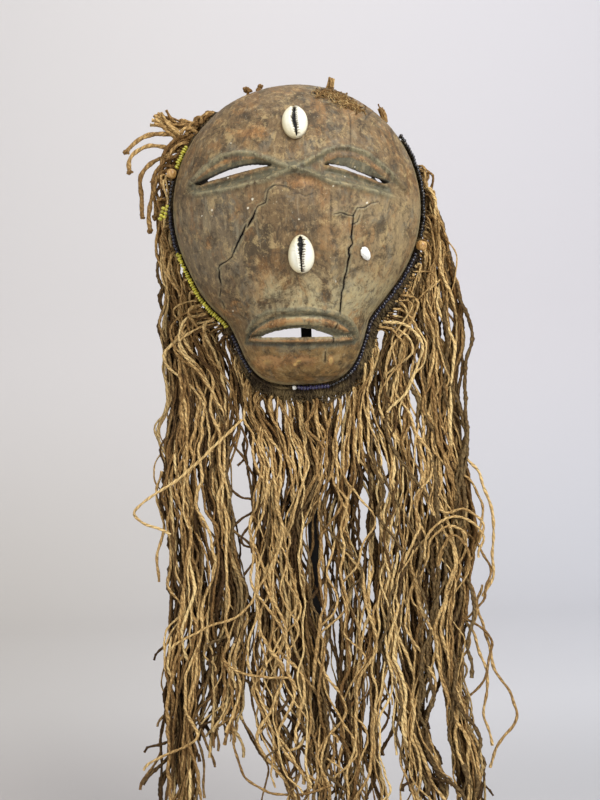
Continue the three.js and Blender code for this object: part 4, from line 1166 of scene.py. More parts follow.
class GOURD_OT_stage(MaskOperator):
    """Sets the camera, the paper backdrop and the soft lights"""

    bl_idname = "gourd_mask.stage"
    bl_label = "Studio and Camera"

    def execute(self, context):
        settings = settings_of(context).stage
        camera = placed("camera", bpy.data.cameras.new("camera"))
        camera.data.lens = settings.lens
        camera.data.clip_end = 20
        roll = math.radians(CAMERA_ROLL)
        turn = Matrix(((math.cos(roll), math.sin(roll), 0), (0, 0, -1), (-math.sin(roll), math.cos(roll), 0)))
        camera.matrix_world = Matrix.Translation(CAMERA_AT) @ turn.to_4x4()
        context.scene.camera = camera

        f = Finish("backdrop_paper")
        x, y, z = f.split(f.place)
        # The paper is painted lighter towards the top, a little darker at the lower left, and darker on the floor
        # near the front: painted light and shade.
        tone = f.span(z, -0.1, 0.6)
        side = f.span(x, -0.7, 0.75)
        low = f.mix(side, srgb(203, 198, 191), srgb(208, 209, 214))
        high = f.mix(side, srgb(224, 220, 218), srgb(221, 218, 221))
        near = f.mix(side, srgb(192, 185, 178), srgb(180, 182, 187))
        low = f.mix(f.span(y, 0.72, 0.25), low, near)
        paper = f.done(f.mix(tone, low, high), 0.9, f.bump(f.noise(40, 2), 0.0004, 0.2))
        back = PAPER_FLOOR_END + PAPER_BEND
        profile = [(PAPER_FRONT, 0.0), (PAPER_FLOOR_END, 0.0)]
        for bend in np.linspace(0, math.pi / 2, 17)[1:]:
            profile.append((PAPER_FLOOR_END + PAPER_BEND * math.sin(bend), PAPER_BEND * (1 - math.cos(bend))))
        profile += [(back, PAPER_TOP / 2), (back, PAPER_TOP)]
        rows = [(edge / MM, y_at / MM, z_at / MM) for y_at, z_at in profile for edge in (-PAPER_SIDE, PAPER_SIDE)]
        faces = [(2 * at, 2 * at + 1, 2 * at + 3, 2 * at + 2) for at in range(len(profile) - 1)]
        mesh_piece("paper_backdrop", rows, faces, paper)

        world = bpy.data.worlds.new("soft_room")
        world.use_nodes = True
        world.node_tree.nodes["Background"].inputs[0].default_value = srgb(232, 234, 240)
        world.node_tree.nodes["Background"].inputs[1].default_value = 0.5
        context.scene.world = world
        lights = [
            ("key_light", (0.95, -1.25, 1.35), settings.key, 1.1, (0, 0, 0.42)),
            ("fill_light", (-1.3, -1.0, 0.75), settings.fill, 1.3, (0, 0, 0.36)),
            ("wall_light", (0.2, 0.2, 2.2), 2.1 * settings.fill, 1.6, (0, back, 0.8)),
        ]
        for name, place, power, size, target in lights:
            light = bpy.data.lights.new(name, "AREA")
            light.energy, light.size = power, size
            lamp = placed(name, light)
            aim = (Vector(target) - Vector(place)).to_track_quat("-Z", "Y")
            lamp.matrix_world = Matrix.Translation(place) @ aim.to_matrix().to_4x4()
        context.scene.view_settings.view_transform = "Standard"
        return {"FINISHED"}


class GOURD_OT_single_cords(MaskOperator):
    """Makes the single cords at the temple and beside the fringe, each with its own length"""

    bl_idname = "gourd_mask.single_cords"
    bl_label = "Single Cords"

    def execute(self, context):
        settings = settings_of(context)
        draw = np.random.default_rng(11)
        cords = [(f"temple_cord_{at + 1}", path, "knot") for at, path in enumerate(TEMPLE_CORDS)]
        cords += [(f"stray_cord_{name}", path, "bare") for name, path in STRAY_CORDS]
        for name, path, far_end in cords:
            self.cord(settings, draw, name, path, far_end)
        return {"FINISHED"}

    def cord(self, settings, draw, name, path, far_end):
        """One cord, with its knot where it has one."""
        knotted = far_end == "knot"
        line = catmull(path, max(24, int(line_length(np.array(path, float)) / 2.2)))
        line = kinked(kinked(line, draw, 1.9, 12 if knotted else 15), draw, 0.4, 7)
        tone = draw.uniform(0.3, 0.7) if knotted else draw.uniform(0.45, 0.85)
        thick = TEMPLE_DIAMETER if knotted else settings.fringe.diameter
        lumps = lattice_noise(np.arange(len(line)) + draw.uniform(0, 99), np.zeros(len(line)), 1.8, 40)
        width = (1.2 if knotted else 0.92) + 0.17 * lumps
        attributes = {"cord_width": [width], "cord_tone": [tone], "cord_phase": [draw.uniform(0, 6)]}
        piece = cord_piece(name + "_twisted", [line], attributes, settings, 0.0014, sides=8, diameter=thick)
        settle(piece, "cord", name)
        extras = []
        if knotted:
            knot = cord_piece(
                name + "_knot", [knot_line(line[-1], draw, 1.9)], {"cord_tone": [0.6 * tone]}, settings, 0.0012,
                diameter=0.0027,
            )
            extras = [settle(knot, "cord")]
        line[0] * MM
        [tuple(point) for point in line * MM]


def carving(x, z, settings):
    """Height of the carved face over the plain gourd, and how worn, dusty, pale or dark each point is."""
    ridge, socket, bevel = (value / MM for value in (settings.ridge, settings.socket, settings.bevel))
    height = 0.55 * lattice_noise(x, z, 34, 1) + 0.3 * lattice_noise(x, z, 15, 2) + 0.1 * lattice_noise(x, z, 5, 3)
    height += 0.09 * lattice_noise(x * 4, z, 5.5, 4) + 0.05 * lattice_noise(x * 2, z, 2.4, 5)
    wear, recess, pale, soot, fleck = (np.zeros(np.shape(x)) for _ in range(5))
    layers = {"height": height, "wear": wear, "recess": recess, "pale": pale, "soot": soot, "fleck": fleck}

    def mark(line, ends=None, **effects):
        """Adds to the layers along a line, a strength and a width for each, fading at the line's ends."""
        gap, share = distance_to(line, x, z)
        fade = smooth(0, ends[0], share) * smooth(1, ends[1], share) if ends else 1
        for layer, (strength, width) in effects.items():
            layers[layer] += strength * bell(gap, width) * fade
        return gap, fade

    def oval(at_x, at_z, wide, tall):
        """1 in the middle of an oval spot, falling off over its half sizes."""
        return bell(np.hypot((x - at_x) / wide, (z - at_z) / tall), 1)

    # Sockets lie between the two crossing ridges.
    falling, rising = height_on(RIDGE_FALLING, x), height_on(RIDGE_RISING, x)
    upper = np.where(x < -6, falling, rising)
    lower = np.where(x < -6, rising, falling)
    inside = smooth(0, 3, np.minimum(upper - z, z - lower)) * ((x > -86) & (x < 77))
    height -= socket * inside
    recess += 0.3 * inside
    # The ridge crests are painted pale, partly dust and partly painted highlight.
    for line in (RIDGE_FALLING, RIDGE_RISING):
        mark(line, (0.06, 0.9), height=(ridge, 2.3), pale=(0.75, 1.6), recess=(0.8, 4.2))
    for top, low, lid, ends in (
        (LEFT_SLIT_TOP, LEFT_SLIT_LOW, LEFT_LID, (-80, -19)),
        (RIGHT_SLIT_LINE, RIGHT_SLIT_LINE, RIGHT_LID, (15, 65)),
    ):
        reach = ((x > ends[0]) & (x < ends[1])) * smooth(0, 5, np.minimum(x - ends[0], ends[1] - x))
        top_z, low_z, lid_z = height_on(top, x), height_on(low, x), height_on(lid, x)
        climb = (z - top_z) / np.maximum(lid_z - top_z, 0.8)
        wall = np.where((climb > -0.1) & (climb < 1), 1 - np.clip(climb, 0, 1), 0)
        height -= bevel * wall * reach
        recess += 1.2 * (climb > -0.2) * (climb < 1) * reach
        wear -= 0.6 * (climb > -0.2) * (climb < 0.95) * reach
        band = np.clip((z - lid_z) / np.maximum(upper - 1.5 - lid_z, 1.0), 0, 1)
        swell = np.sin(math.pi * band) * reach
        height += swell
        wear += 0.66 * swell
        recess -= 0.6 * swell
        below = low_z - z
        lower_lid = 0.9 * bell(below - 2.0, 1.5) - 0.9 * bell(below - 5.2, 1.3) - 1.2 * bell(below + 0.3, 1.0)
        height += lower_lid * reach
        wear += 0.45 * bell(below - 1.6, 1.6) * reach
        recess += 0.8 * bell(below - 5.0, 1.6) * reach
        # A dark band just above the top edge of each slit is painted shade.
        soot += bell(z - top_z - 0.5, 0.75 + 0.25 * lattice_noise(x, z, 2.2, 6)) * reach
    # Where a slit is not cut through, its line is sunk and painted dark as shade.
    for low_x, high_x, line in ((-77, LEFT_HOLE_FROM + 0.6, LEFT_SLIT_TOP), (49.6, 62, RIGHT_SLIT_LINE)):
        gap = np.abs(z - height_on(line, x) + 0.1)
        closed = smooth(low_x, low_x + 3, x) * smooth(high_x, high_x - 0.8, x)
        height -= 1.8 * bell(gap, 0.9) * closed
        soot += 0.95 * bell(gap, 0.85) * closed
    hollow = oval(1, 543.5, 15, 6.5) * smooth(1, -2, z - np.minimum(falling, rising))
    height -= 1.9 * hollow
    wear += 0.9 * hollow

    # Mouth: bevel over the slit, lip band, groove and ridge around it, and a thin lower lip.
    reach = smooth(0, 4, np.minimum(x + 44.5, 35.5 - x))
    top_z, bevel_z, lip_z = height_on(MOUTH_TOP, x), height_on(MOUTH_BEVEL, x), height_on(LIP_EDGE, x)
    climb = (z - top_z) / np.maximum(bevel_z - top_z, 0.6)
    wall = np.where((climb > -0.2) & (climb < 1), 1 - np.clip(climb, 0, 1), 0)
    height -= 2.2 * wall * reach
    recess += 1.2 * (climb > -0.3) * (climb < 1) * reach
    band = np.clip((z - bevel_z) / np.maximum(lip_z - bevel_z, 1), 0, 1)
    height += 2.0 * np.sin(math.pi * band) ** 0.8 * reach
    wear += 0.95 * np.sin(math.pi * band) ** 0.6 * reach
    # The groove along the lip's edge gets painted shade.
    mark(LIP_EDGE, height=(-1.3, 1.1), recess=(1.1, 1.5), soot=(0.35, 0.7))
    # The lip ridge is painted pale, partly dust and partly painted highlight.
    gap, fade = mark(LIP_RIDGE, (0.05, 0.85), height=(1.3, 1.5), recess=(1, 2.4), pale=(0.6, 1.2))
    height -= 0.5 * bell(np.abs(gap - 2.6), 0.8) * fade * (x > 8)
    mark(LIP_LOW, height=(1.7, 1.3), wear=(1, 1.5))
    # The lip line is a groove painted dark as shade.
    mark(LIP_LINE, height=(-1.2, 1), soot=(0.55, 0.8), recess=(1, 2.2))
    under = smooth(0, 3, 429 - z) * smooth(414, 424, z) * bell((x + 3) / 36, 1)
    recess += 0.45 * under
    soot += 0.4 * smooth(0.1, 0.8, lattice_noise(x * 0.6, z, 3.5, 9)) * (z < 428)
    for at_x, at_z, wide, tall, more in OCHRE:
        wear += more * oval(at_x, at_z, wide, tall)

    # Cracks, hairlines, dents, pale flecks and pits. The insides of cracks, hairlines, dents and pits get painted
    # shade.
    for route, widths in CRACKS:
        gap, share = distance_to(route, x, z)
        width = np.interp(share, np.linspace(0, 1, len(widths)), widths)
        height += 0.25 * bell(gap - 1.4, 1.0)
        pale += 0.6 * bell(gap - width / 2 - 0.7, 0.6)
        soot += 0.8 * bell(gap, 0.25 + width / 2) * np.minimum(1, 0.3 + width)
    for route in HAIRLINES:
        mark(route, (0.1, 0.9), height=(-0.45, 0.6), soot=(0.6, 0.55))
    soot += 0.35 * oval(-62, 478, 17, 22) * smooth(-0.2, 0.8, lattice_noise(x, z, 4.5, 8))
    for at_x, at_z, radius, depth in DENTS:
        near = bell(np.hypot(x - at_x, z - at_z), radius)
        height -= depth * near
        soot += 0.12 * depth * near
    for at_x, at_z, radius in FLECKS:
        fleck += bell(np.hypot(x - at_x, z - at_z) + 0.3 * lattice_noise(x, z, 0.9, 7), radius)
    draw = np.random.default_rng(21)
    for _ in range(70):
        at_x, at_z, radius = draw.uniform(-85, 75), draw.uniform(410, 620), draw.uniform(0.5, 1.6)
        near = bell(np.hypot(x - at_x, (z - at_z) * 0.7), radius)
        height -= 0.35 * near
        soot += 0.25 * near * draw.uniform(0, 1)
    limits = {"wear": 2, "recess": 1.2, "pale": 1, "soot": 1, "fleck": 1}
    return height, {layer: np.clip(layers[layer], 0, most) for layer, most in limits.items()}


def dome_grid(cells, offset):
    """Points of the gourd's surface on a square grid bent into its outline, and each point's share of the way out."""
    across, up, share = disc(cells)
    angle = np.arctan2(across, up)
    knee, slope = 0.86, 1.0536
    bend = np.sin(math.pi / 2 * np.clip((share - knee) / (1 - knee), 0, 1))
    eased = np.where(share < knee, slope * share, slope * knee + (1 - slope * knee) * bend)
    reach = eased * outline_radius(angle) * (1 + offset / BULB_RADIUS)
    x, z = CENTRE_X + reach * np.sin(angle), CENTRE_Z + reach * np.cos(angle)
    y = np.where(share > 0.9999, 0, face_y(x, z, offset))
    return np.stack([x, y, z], axis=-1), eased


class GOURD_OT_gourd(MaskOperator):
    """Carves the gourd's shell with its eyes, mouth, cracks and holes"""

    bl_idname = "gourd_mask.gourd"
    bl_label = "Gourd Shell"

    def execute(self, context):
        settings = settings_of(context).gourd
        cells = settings.cells - settings.cells % 4
        outer, share = dome_grid(cells, 0)
        normal = np.cross(np.gradient(outer, axis=0), np.gradient(outer, axis=1))
        normal /= np.maximum(np.linalg.norm(normal, axis=-1, keepdims=True), 1e-9)
        normal *= np.where(normal[..., 1:2] > 0, -1, 1)
        height, _ = carving(outer[..., 0], outer[..., 2], settings)
        outer = outer + normal * (height * smooth(1, 0.985, share))[..., None]
        inner_cells = cells // 4
        inner, _ = dome_grid(inner_cells, -settings.wall / MM)

        grid = numbered(cells)
        inner_grid = numbered(inner_cells, grid.size)
        faces = squares(grid).tolist() + squares(inner_grid)[:, ::-1].tolist()
        rim, inner_rim = border(grid), border(inner_grid)
        count = len(rim)
        for at in range(len(inner_rim)):
            ahead = (at + 1) % len(inner_rim)
            for part in range(4):
                a, b = rim[4 * at + part], rim[(4 * at + part + 1) % count]
                faces.append((b, a, inner_rim[at if part < 2 else ahead]))
                if part == 1:
                    faces.append((b, inner_rim[at], inner_rim[ahead]))
        look = Shop.get("gourd", lambda: gourd_finish(settings))
        shell = mesh_piece("gourd_shell", np.vstack([outer.reshape(-1, 3), inner.reshape(-1, 3)]), faces, look)
        self.cut(shell, settings)
        self.colour(shell, settings)
        settle(shell, "gourd", "gourd_face")
        return {"FINISHED"}

    def cut(self, shell, settings):
        """Cuts slits, holes and cracks out of the shell."""
        draw = np.random.default_rng(3)
        points, faces = [], []

        def add(outline, front, back):
            """Adds a closed block under an outline in x and z."""
            first, count = len(points), len(outline)
            for side in (front, back):
                points.extend((x, y, z) for (x, z), y in zip(outline, np.broadcast_to(side, count)))
            faces.extend(tuple(first + at for at in face) for face in loft_faces(2, count))

        for top, low in ((LEFT_SLIT_TOP, LEFT_SLIT_LOW), (RIGHT_SLIT_TOP, RIGHT_SLIT_LOW), (MOUTH_TOP, MOUTH_LOW)):
            start, end = max(top[0][0], LEFT_HOLE_FROM), top[-1][0]
            over, rough = np.linspace(start, end, 40), 0.22 * draw.uniform(-1, 1, 40)
            upper = [(x, height_on(top, x) + rough[at]) for at, x in enumerate(over)]
            under = [(x, height_on(low, x) - 0.05 + 0.12 * draw.uniform(-1, 1)) for x in over[1:-1]]
            add(upper + under[::-1], *CUT_THROUGH)
        add(RIGHT_HOLE, *CUT_THROUGH)
        for x, z, radius in RIM_HOLES:
            ring = [
                (x + radius * math.cos(turn) * draw.uniform(0.8, 1.2), z + radius * math.sin(turn))
                for turn in np.linspace(0, 2 * math.pi, 9)[:-1]
            ]
            deep = float(face_y(x, z))
            add(ring, deep - 8, deep + 14)
        depth = settings.crack_depth / MM
        for route, widths in CRACKS:
            line = np.array(route, float)
            steps = np.concatenate([[0], np.cumsum(np.hypot(*np.diff(line, axis=0).T))])
            count = max(4, int(steps[-1] / 0.9))
            at = np.linspace(0, steps[-1], count)
            spine = np.stack([np.interp(at, steps, line[:, 0]), np.interp(at, steps, line[:, 1])], axis=1)
            ahead = np.gradient(spine, axis=0)
            ahead /= np.linalg.norm(ahead, axis=1, keepdims=True)
            across = np.stack([-ahead[:, 1], ahead[:, 0]], axis=1)
            closing = smooth(-0.02, 0.12, np.minimum(at, steps[-1] - at) / steps[-1])
            width = np.maximum(0.72 * np.interp(at, steps, widths) * closing, 0.16)
            spine = spine + across * (0.22 * draw.uniform(-1, 1, count))[:, None]
            one = spine + across * (width / 2 * draw.uniform(0.7, 1.3, count))[:, None]
            two = spine - across * (width / 2 * draw.uniform(0.7, 1.3, count))[:, None]
            outline = np.vstack([one, two[::-1]])
            level = np.array([float(face_y(x, z)) for x, z in outline])
            add(outline, level - 5, level + depth)
        blade = mesh_piece("cuts", points, faces, shell.data.materials[0])
        modifier = shell.modifiers.new("cuts", "BOOLEAN")
        modifier.operation, modifier.solver, modifier.object = "DIFFERENCE", "MANIFOLD", blade
        made = evaluated(shell)
        shell.modifiers.clear()
        shell.data = made
        bpy.data.objects.remove(blade)

    def colour(self, shell, settings):
        """Stores how worn, dusty, pale and dark each point is."""
        mesh = shell.data
        spots = np.zeros(len(mesh.vertices) * 3, np.float32)
        mesh.vertices.foreach_get("co", spots)
        x, y, z = (spots.reshape(-1, 3).astype(float) / MM).T
        height, values = carving(x, z, settings)
        share = np.hypot(x - CENTRE_X, z - CENTRE_Z) / outline_radius(np.arctan2(x - CENTRE_X, z - CENTRE_Z))
        # How far a point lies behind the carved surface, measured square to it. Points deep in the cuts and cracks
        # get painted shade.
        tilt = np.sqrt(np.maximum(1 - share**2, 0.02))
        below = (y - face_y(x, z)) * tilt + height
        below = np.where(share > 0.985, 0, below)
        values["soot"] = np.maximum(values["soot"], smooth(0.5, 1.6, below))
        inside = smooth(4.0, 4.6, below)
        values["inside"] = np.where(share > 0.97, 0, inside)
        values["soot"] = values["soot"] * (1 - inside)
        # A pale line along the cut rim is a painted highlight.
        values["pale"] = np.maximum(values["pale"], smooth(0.975, 0.995, share) * 0.8)
        for key, numbers in values.items():
            point_values(mesh, key, numbers)
        mesh.shade_smooth()
        mesh.set_sharp_from_angle(angle=math.radians(48))


def edge_rows(mass, column):
    """Heights and places of one edge of a mass of cords, in falling order."""
    edge = mass["left"] if column == 1 else mass["right"]
    draw_in = 4 if column == 1 else -4
    rows = [(row[0], row[column]) for row in mass["above"]]
    rows += [(z, edge[level]) for level, z in enumerate(LEVELS) if z > mass["end"] + 12]
    return rows + [(mass["end"] - 1, edge[-1] + draw_in)]


def edges_at(mass, z):
    """Left and right edge of a mass at heights."""
    sides = []
    for column in (1, 2):
        rows = edge_rows(mass, column)
        line = catmull([(x, 0, height) for height, x in rows], 160)
        sides.append(np.interp(z, line[::-1, 2], line[::-1, 0]))
    return sides


class GOURD_OT_fringe(MaskOperator):
    """Hangs the locks of twisted cords from the band"""

    bl_idname = "gourd_mask.fringe"
    bl_label = "Fringe"

    def execute(self, context):
        settings = settings_of(context)
        draw = np.random.default_rng(settings.fringe.seed)
        for mass in MASSES:
            for at in range(len(mass["roots"]) - 1):
                self.lock(settings, draw, mass, at)
        return {"FINISHED"}

    def lock(self, settings, draw, mass, at):
        """One lock, in cords of two finenesses."""
        name = f"{mass['name']}_lock_{at + 1}"
        fringe = settings.fringe
        strands = [
            {
                "share": (number + draw.uniform(0.2, 0.8)) / STRANDS, "deep": draw.uniform(0.0, 1.0),
                "tone": draw.uniform(0, 1), "seed": int(draw.integers(1000)),
            }
            for number in range(STRANDS)
        ]
        counts = (fringe.outer_count + MORE_CORDS * (mass["name"] in OUTERMOST), fringe.inner_count)
        groups = ([], [])
        for number in range(sum(counts)):
            inner = number >= counts[0]
            groups[inner].append(self.cord(draw, mass, at, inner, number - counts[0] * inner, counts, strands))
        for tone, route in CROSSINGS.get(name, []):
            line, values = self.cord(draw, mass, at, False, int(draw.integers(counts[0])), counts, strands)
            line = np.vstack([line[line[:, 2] > route[0][2] + 22][::6], route])
            line = catmull(line, int(line_length(line) / 2.4))
            # Cords that run behind their lock are painted dark as shade.
            values.update(cord_width=0.85, cord_tone=tone * 0.75, cord_depth=0.6 if tone < 0.25 else 0.0)
            line = kinked(kinked(line, draw, 2.2, 16), draw, 1.1, 8)
            groups[0].append((kinked(line, draw, 0.5, 4.5), values))
        pieces = []
        for kind, cords, step in zip(("outer", "inner"), groups, (fringe.fine_step, fringe.plain_step)):
            lines, values = zip(*cords)
            attributes = {key: [each[key] for each in values] for key in values[0]}
            pieces.append(cord_piece(f"{name}_{kind}", lines, attributes, settings, step))
        settle(joined(name + "_cords", pieces), "cord", name)

    def cord(self, draw, mass, at, inner, order, counts, strands):
        """The line of one cord and its attributes."""
        own = (order + draw.uniform(0.1, 0.9)) / counts[inner]
        own = {"fringe_left": own**2, "fringe_right": 1 - (1 - own) ** 1.7}.get(mass["name"], own)
        layer = draw.uniform(0.35, 0.75) if inner else draw.choice([0.02, 0.2, 0.95], p=[0.5, 0.25, 0.25])
        angle = mass["roots"][at] + (mass["roots"][at + 1] - mass["roots"][at]) * own
        spots, swing, near = self.leaving(draw, mass, angle, layer)
        end = mass["end"] + abs(draw.normal(0, 24))
        end += draw.uniform(0, 110) if draw.uniform() < 0.2 else 0
        end += draw.uniform(5, 45) if inner else 0
        top = spots[-1][2] - draw.uniform(7, 12)
        z = np.arange(top, end, -4.0)
        run = top - z
        grip = smooth(15, 95, run)
        phase = draw.uniform(0, 1000)
        strand = strands[int(np.clip(own * STRANDS + draw.normal(0, 0.7), 0, STRANDS - 1))]
        share, rogue = self.across(draw, mass, at, own, z, grip, phase, strand)
        left, right = edges_at(mass, z)
        x = left + (right - left) * share
        x = x + (spots[-1][0] - x[0]) * np.exp(-run / (12 + swing))

        # Below the gourd the cords come forward and fill the depth of the mass.
        fall = smooth(0, RELEASE_FALL, RELEASE_LEVEL - z)
        thick = (mass["behind"] + (mass["depth"] - mass["behind"]) * fall) * np.clip((z - mass["end"]) / 60, 0.3, 1)
        front = (BAND_THICK + 0.5) + (mass["front"] - BAND_THICK - 0.5) * fall
        deep = layer + 0.4 * (strand["deep"] - layer) * grip + 0.35 * drift(z, strand["seed"], 70, 34) * grip
        deep = np.clip(deep + 0.12 * drift(z, phase, 30, 35) * grip, -0.04, 1.02)
        if rogue:
            deep = deep * 0 - 0.05
        forward = 6 * near * (1 - fall) * np.exp(-run / 40)
        y = front + 1.5 * np.sin(z / 47 + 2 * at) * fall + 1.4 + (thick - 2.8) * deep
        body = np.stack([x, y - forward, z], axis=1)
        line = catmull(np.vstack([*spots, body[1:]]), max(12, int((top - end) / 2.6)))
        for source, (size, reach) in zip((np.random.default_rng(strand["seed"]), draw, draw), CORD_KINKS):
            line = kinked(line, source, source.uniform(*size), source.uniform(*reach))
        tail = smooth(34, 0, np.abs(line[:, 2] - line[-1, 2]))
        line[:, 0] += tail * draw.normal(0, 10)
        line[:, 1] += tail * draw.normal(0, 3)
        line[:, 2] += tail**2 * abs(draw.normal(0, 7))

        lumps = lattice_noise(np.arange(len(line)) + phase, np.zeros(len(line)), 2.5, 39)
        width = draw.uniform(0.5, 1.1) * (1.35 if inner else 1) * (1 + 0.2 * lumps)
        # Cords inside a lock are painted darker as shade, and the stray cords in front are painted light.
        tone = (0.06 + 0.55 * strand["tone"] + 0.5 * draw.uniform(0.0, 1.0)) * (0.6 if inner else 1)
        depth = self.shade(mass, line, inner, np.interp(-line[:, 2], -z, deep), np.interp(-line[:, 2], -z, share))
        return line, {
            "cord_width": width, "cord_phase": draw.uniform(0, 6.3), "cord_tone": max(tone, 0.7) if rogue else tone,
            "cord_depth": depth,
        }

    def leaving(self, draw, mass, angle, layer):
        """The points where a cord is tied to the band and arches out of it, how far, and whether it lies near."""
        root_y = BAND_THICK + 0.7 + 6.4 * layer
        reach = band_reach(angle)
        root = rim_point(angle, reach - 3.4 + draw.uniform(-0.6, 0.6), root_y)
        jaw = mass["swing"] > 10
        low_jaw = smooth(52, 40, abs(angle - 181)) if jaw else 1
        swing = 1 + ((mass["swing"] - 1) * low_jaw + 5 * (1 - low_jaw)) * draw.uniform(0, 1) ** (1.5 if jaw else 1)
        near = layer < 0.3 and swing > 5
        aside = (0.6 if layer < 0.3 else 0.45) * swing * np.sign(root[0]) * jaw
        if jaw and layer < 0.3:
            root = rim_point(angle, max(4.8, reach) + draw.uniform(-0.2, 1.5), draw.uniform(-0.6, 1))
        leave = rim_point(angle, reach + 0.4 * swing, root_y - (4 if near else 0.5))
        arch = rim_point(angle, reach + (0.75 if jaw else 1) * swing, root_y - (7 if near else 1))
        leave = leave + np.array([0.5 * aside, 0, 0.2 * swing])
        return [root, leave, arch + np.array([aside, 0, -0.1 * swing])], swing, near

    def across(self, draw, mass, at, own, z, grip, phase, strand):
        """How far across its mass a cord runs at each height, and whether it strays from its strand."""
        seed = strand["seed"]
        path = strand["share"] + 0.55 * drift(z, seed, 105, 31) + 0.18 * drift(z, seed, 45, 32)
        path = path + draw.normal(0, 0.13) + 0.14 * drift(z, phase, 50, 36)
        rogue = draw.uniform() < 0.1
        if rogue:
            path = own + 0.9 * drift(z, phase, 60, 37) + 0.5 * drift(z, phase, 25, 38)
        share = (at + (own * (1 - grip) + path * grip)) / (len(mass["roots"]) - 1)
        over = 0.22 if rogue else 0.12
        held = np.where(share > 1, 1 + over * np.tanh((share - 1) / over), share)
        share = np.where(share < 0, over * np.tanh(share / over), held)
        hold_z, hold_at, hold = mass["hold"]
        return share + (hold_at - share) * hold * bell((z - hold_z) / 24, 1), rogue

    def shade(self, mass, line, inner, deep, share):
        """How dark a cord is in the depth of its lock and in the pocket of its mass."""
        depth = np.full(len(line), 0.9) if inner else 0.55 * smooth(0.12, 0.45, deep) * smooth(1.0, 0.8, deep)
        if "shade" in mass:
            height, strength = mass["shade"]
            pocket = bell((line[:, 2] - height) / 36, 1) * smooth(0.55, 0.9, share)
            depth = np.maximum(depth, strength * pocket)
        return depth * smooth(0, 25, line[0, 2] - line[:, 2])


class GOURD_OT_band(MaskOperator):
    """Makes the knotted band behind the rim"""

    bl_idname = "gourd_mask.band"
    bl_label = "Knotted Band"

    def execute(self, context):
        settings = settings_of(context)
        look = Shop.get("band", lambda: band_finish(settings.trim))
        rings, steps = [], 150
        for step in range(steps + 1):
            angle = BAND_START + (BAND_END - BAND_START) * step / steps
            reach = band_reach(angle)
            edge = [(-BAND_INSIDE, 1.0), (reach - 1.6, 1.0), (reach - 0.8, 3.0), (reach - 1.6, 5.3)]
            rings += [rim_point(angle, outward, y) for outward, y in edge + [(-BAND_INSIDE, 5.3)]]
        core = mesh_piece("fringe_band_core", rings, loft_faces(steps + 1, 5), look)
        draw = np.random.default_rng(5)
        loops, angle = [], BAND_START + 0.6
        while angle < BAND_END - 0.6:
            reach = band_reach(angle) + draw.uniform(-0.9, 0.4)
            lean = draw.uniform(-0.8, 0.8)
            spots = [(-4, 1.3), (reach * 0.2, 0.9), (reach * 0.6, 0.7)]
            spots += [(reach - 1.0, 1.3), (reach - 0.3, 3.0), (reach - 1.0, 4.9), (-3, 5.4)]
            loops.append(np.array([rim_point(angle + lean * share, out, y) for share, (out, y) in enumerate(spots)]))
            chin = band_reach(angle) > 5.5
            if chin and draw.uniform() < 0.35:
                spot = rim_point(angle, max(reach, 4.5) * draw.uniform(0.5, 1.0), 1.2)
                loops.append(knot_line(spot, draw, draw.uniform(0.9, 1.5)))
            for _ in range(2 * chin):
                spots = [(reach * 0.4, 0.8), (reach, 0.4 + draw.uniform(0, 3))]
                spots.append((reach + draw.uniform(1, 4.5), draw.uniform(1, 5)))
                loops.append(catmull([rim_point(angle + draw.normal(0, 1.2), out, y) for out, y in spots], 8))
            radius = float(outline_radius(math.radians(angle)))
            angle += math.degrees(draw.uniform(1.9, 2.5) / (radius + reach * 0.5))
        fuzz = {
            "cord_tone": draw.uniform(0.1, 0.8, len(loops)),
            "cord_width": [draw.uniform(0.8, 1.15) if len(loop) == 7 else draw.uniform(0.4, 0.7) for loop in loops],
        }
        knots = cord_piece(
            "fringe_band_loops", loops, fuzz, settings, 0.0018, sides=5, diameter=0.0022, material=look,
        )
        settle(joined("fringe_band_knotted", [core, knots]), "band", "fringe_band")
        return {"FINISHED"}


def glass(settings, colour):
    """The glass of one bead colour."""
    trim = settings.trim
    return Shop.get("glass_" + colour, lambda: glass_finish("glass_" + colour, getattr(trim, colour), 0.14))


def dark_cord(settings):
    """The dark cord of the rim and of the tie knot."""
    return Shop.get("dark_cord", lambda: band_finish(settings.trim))


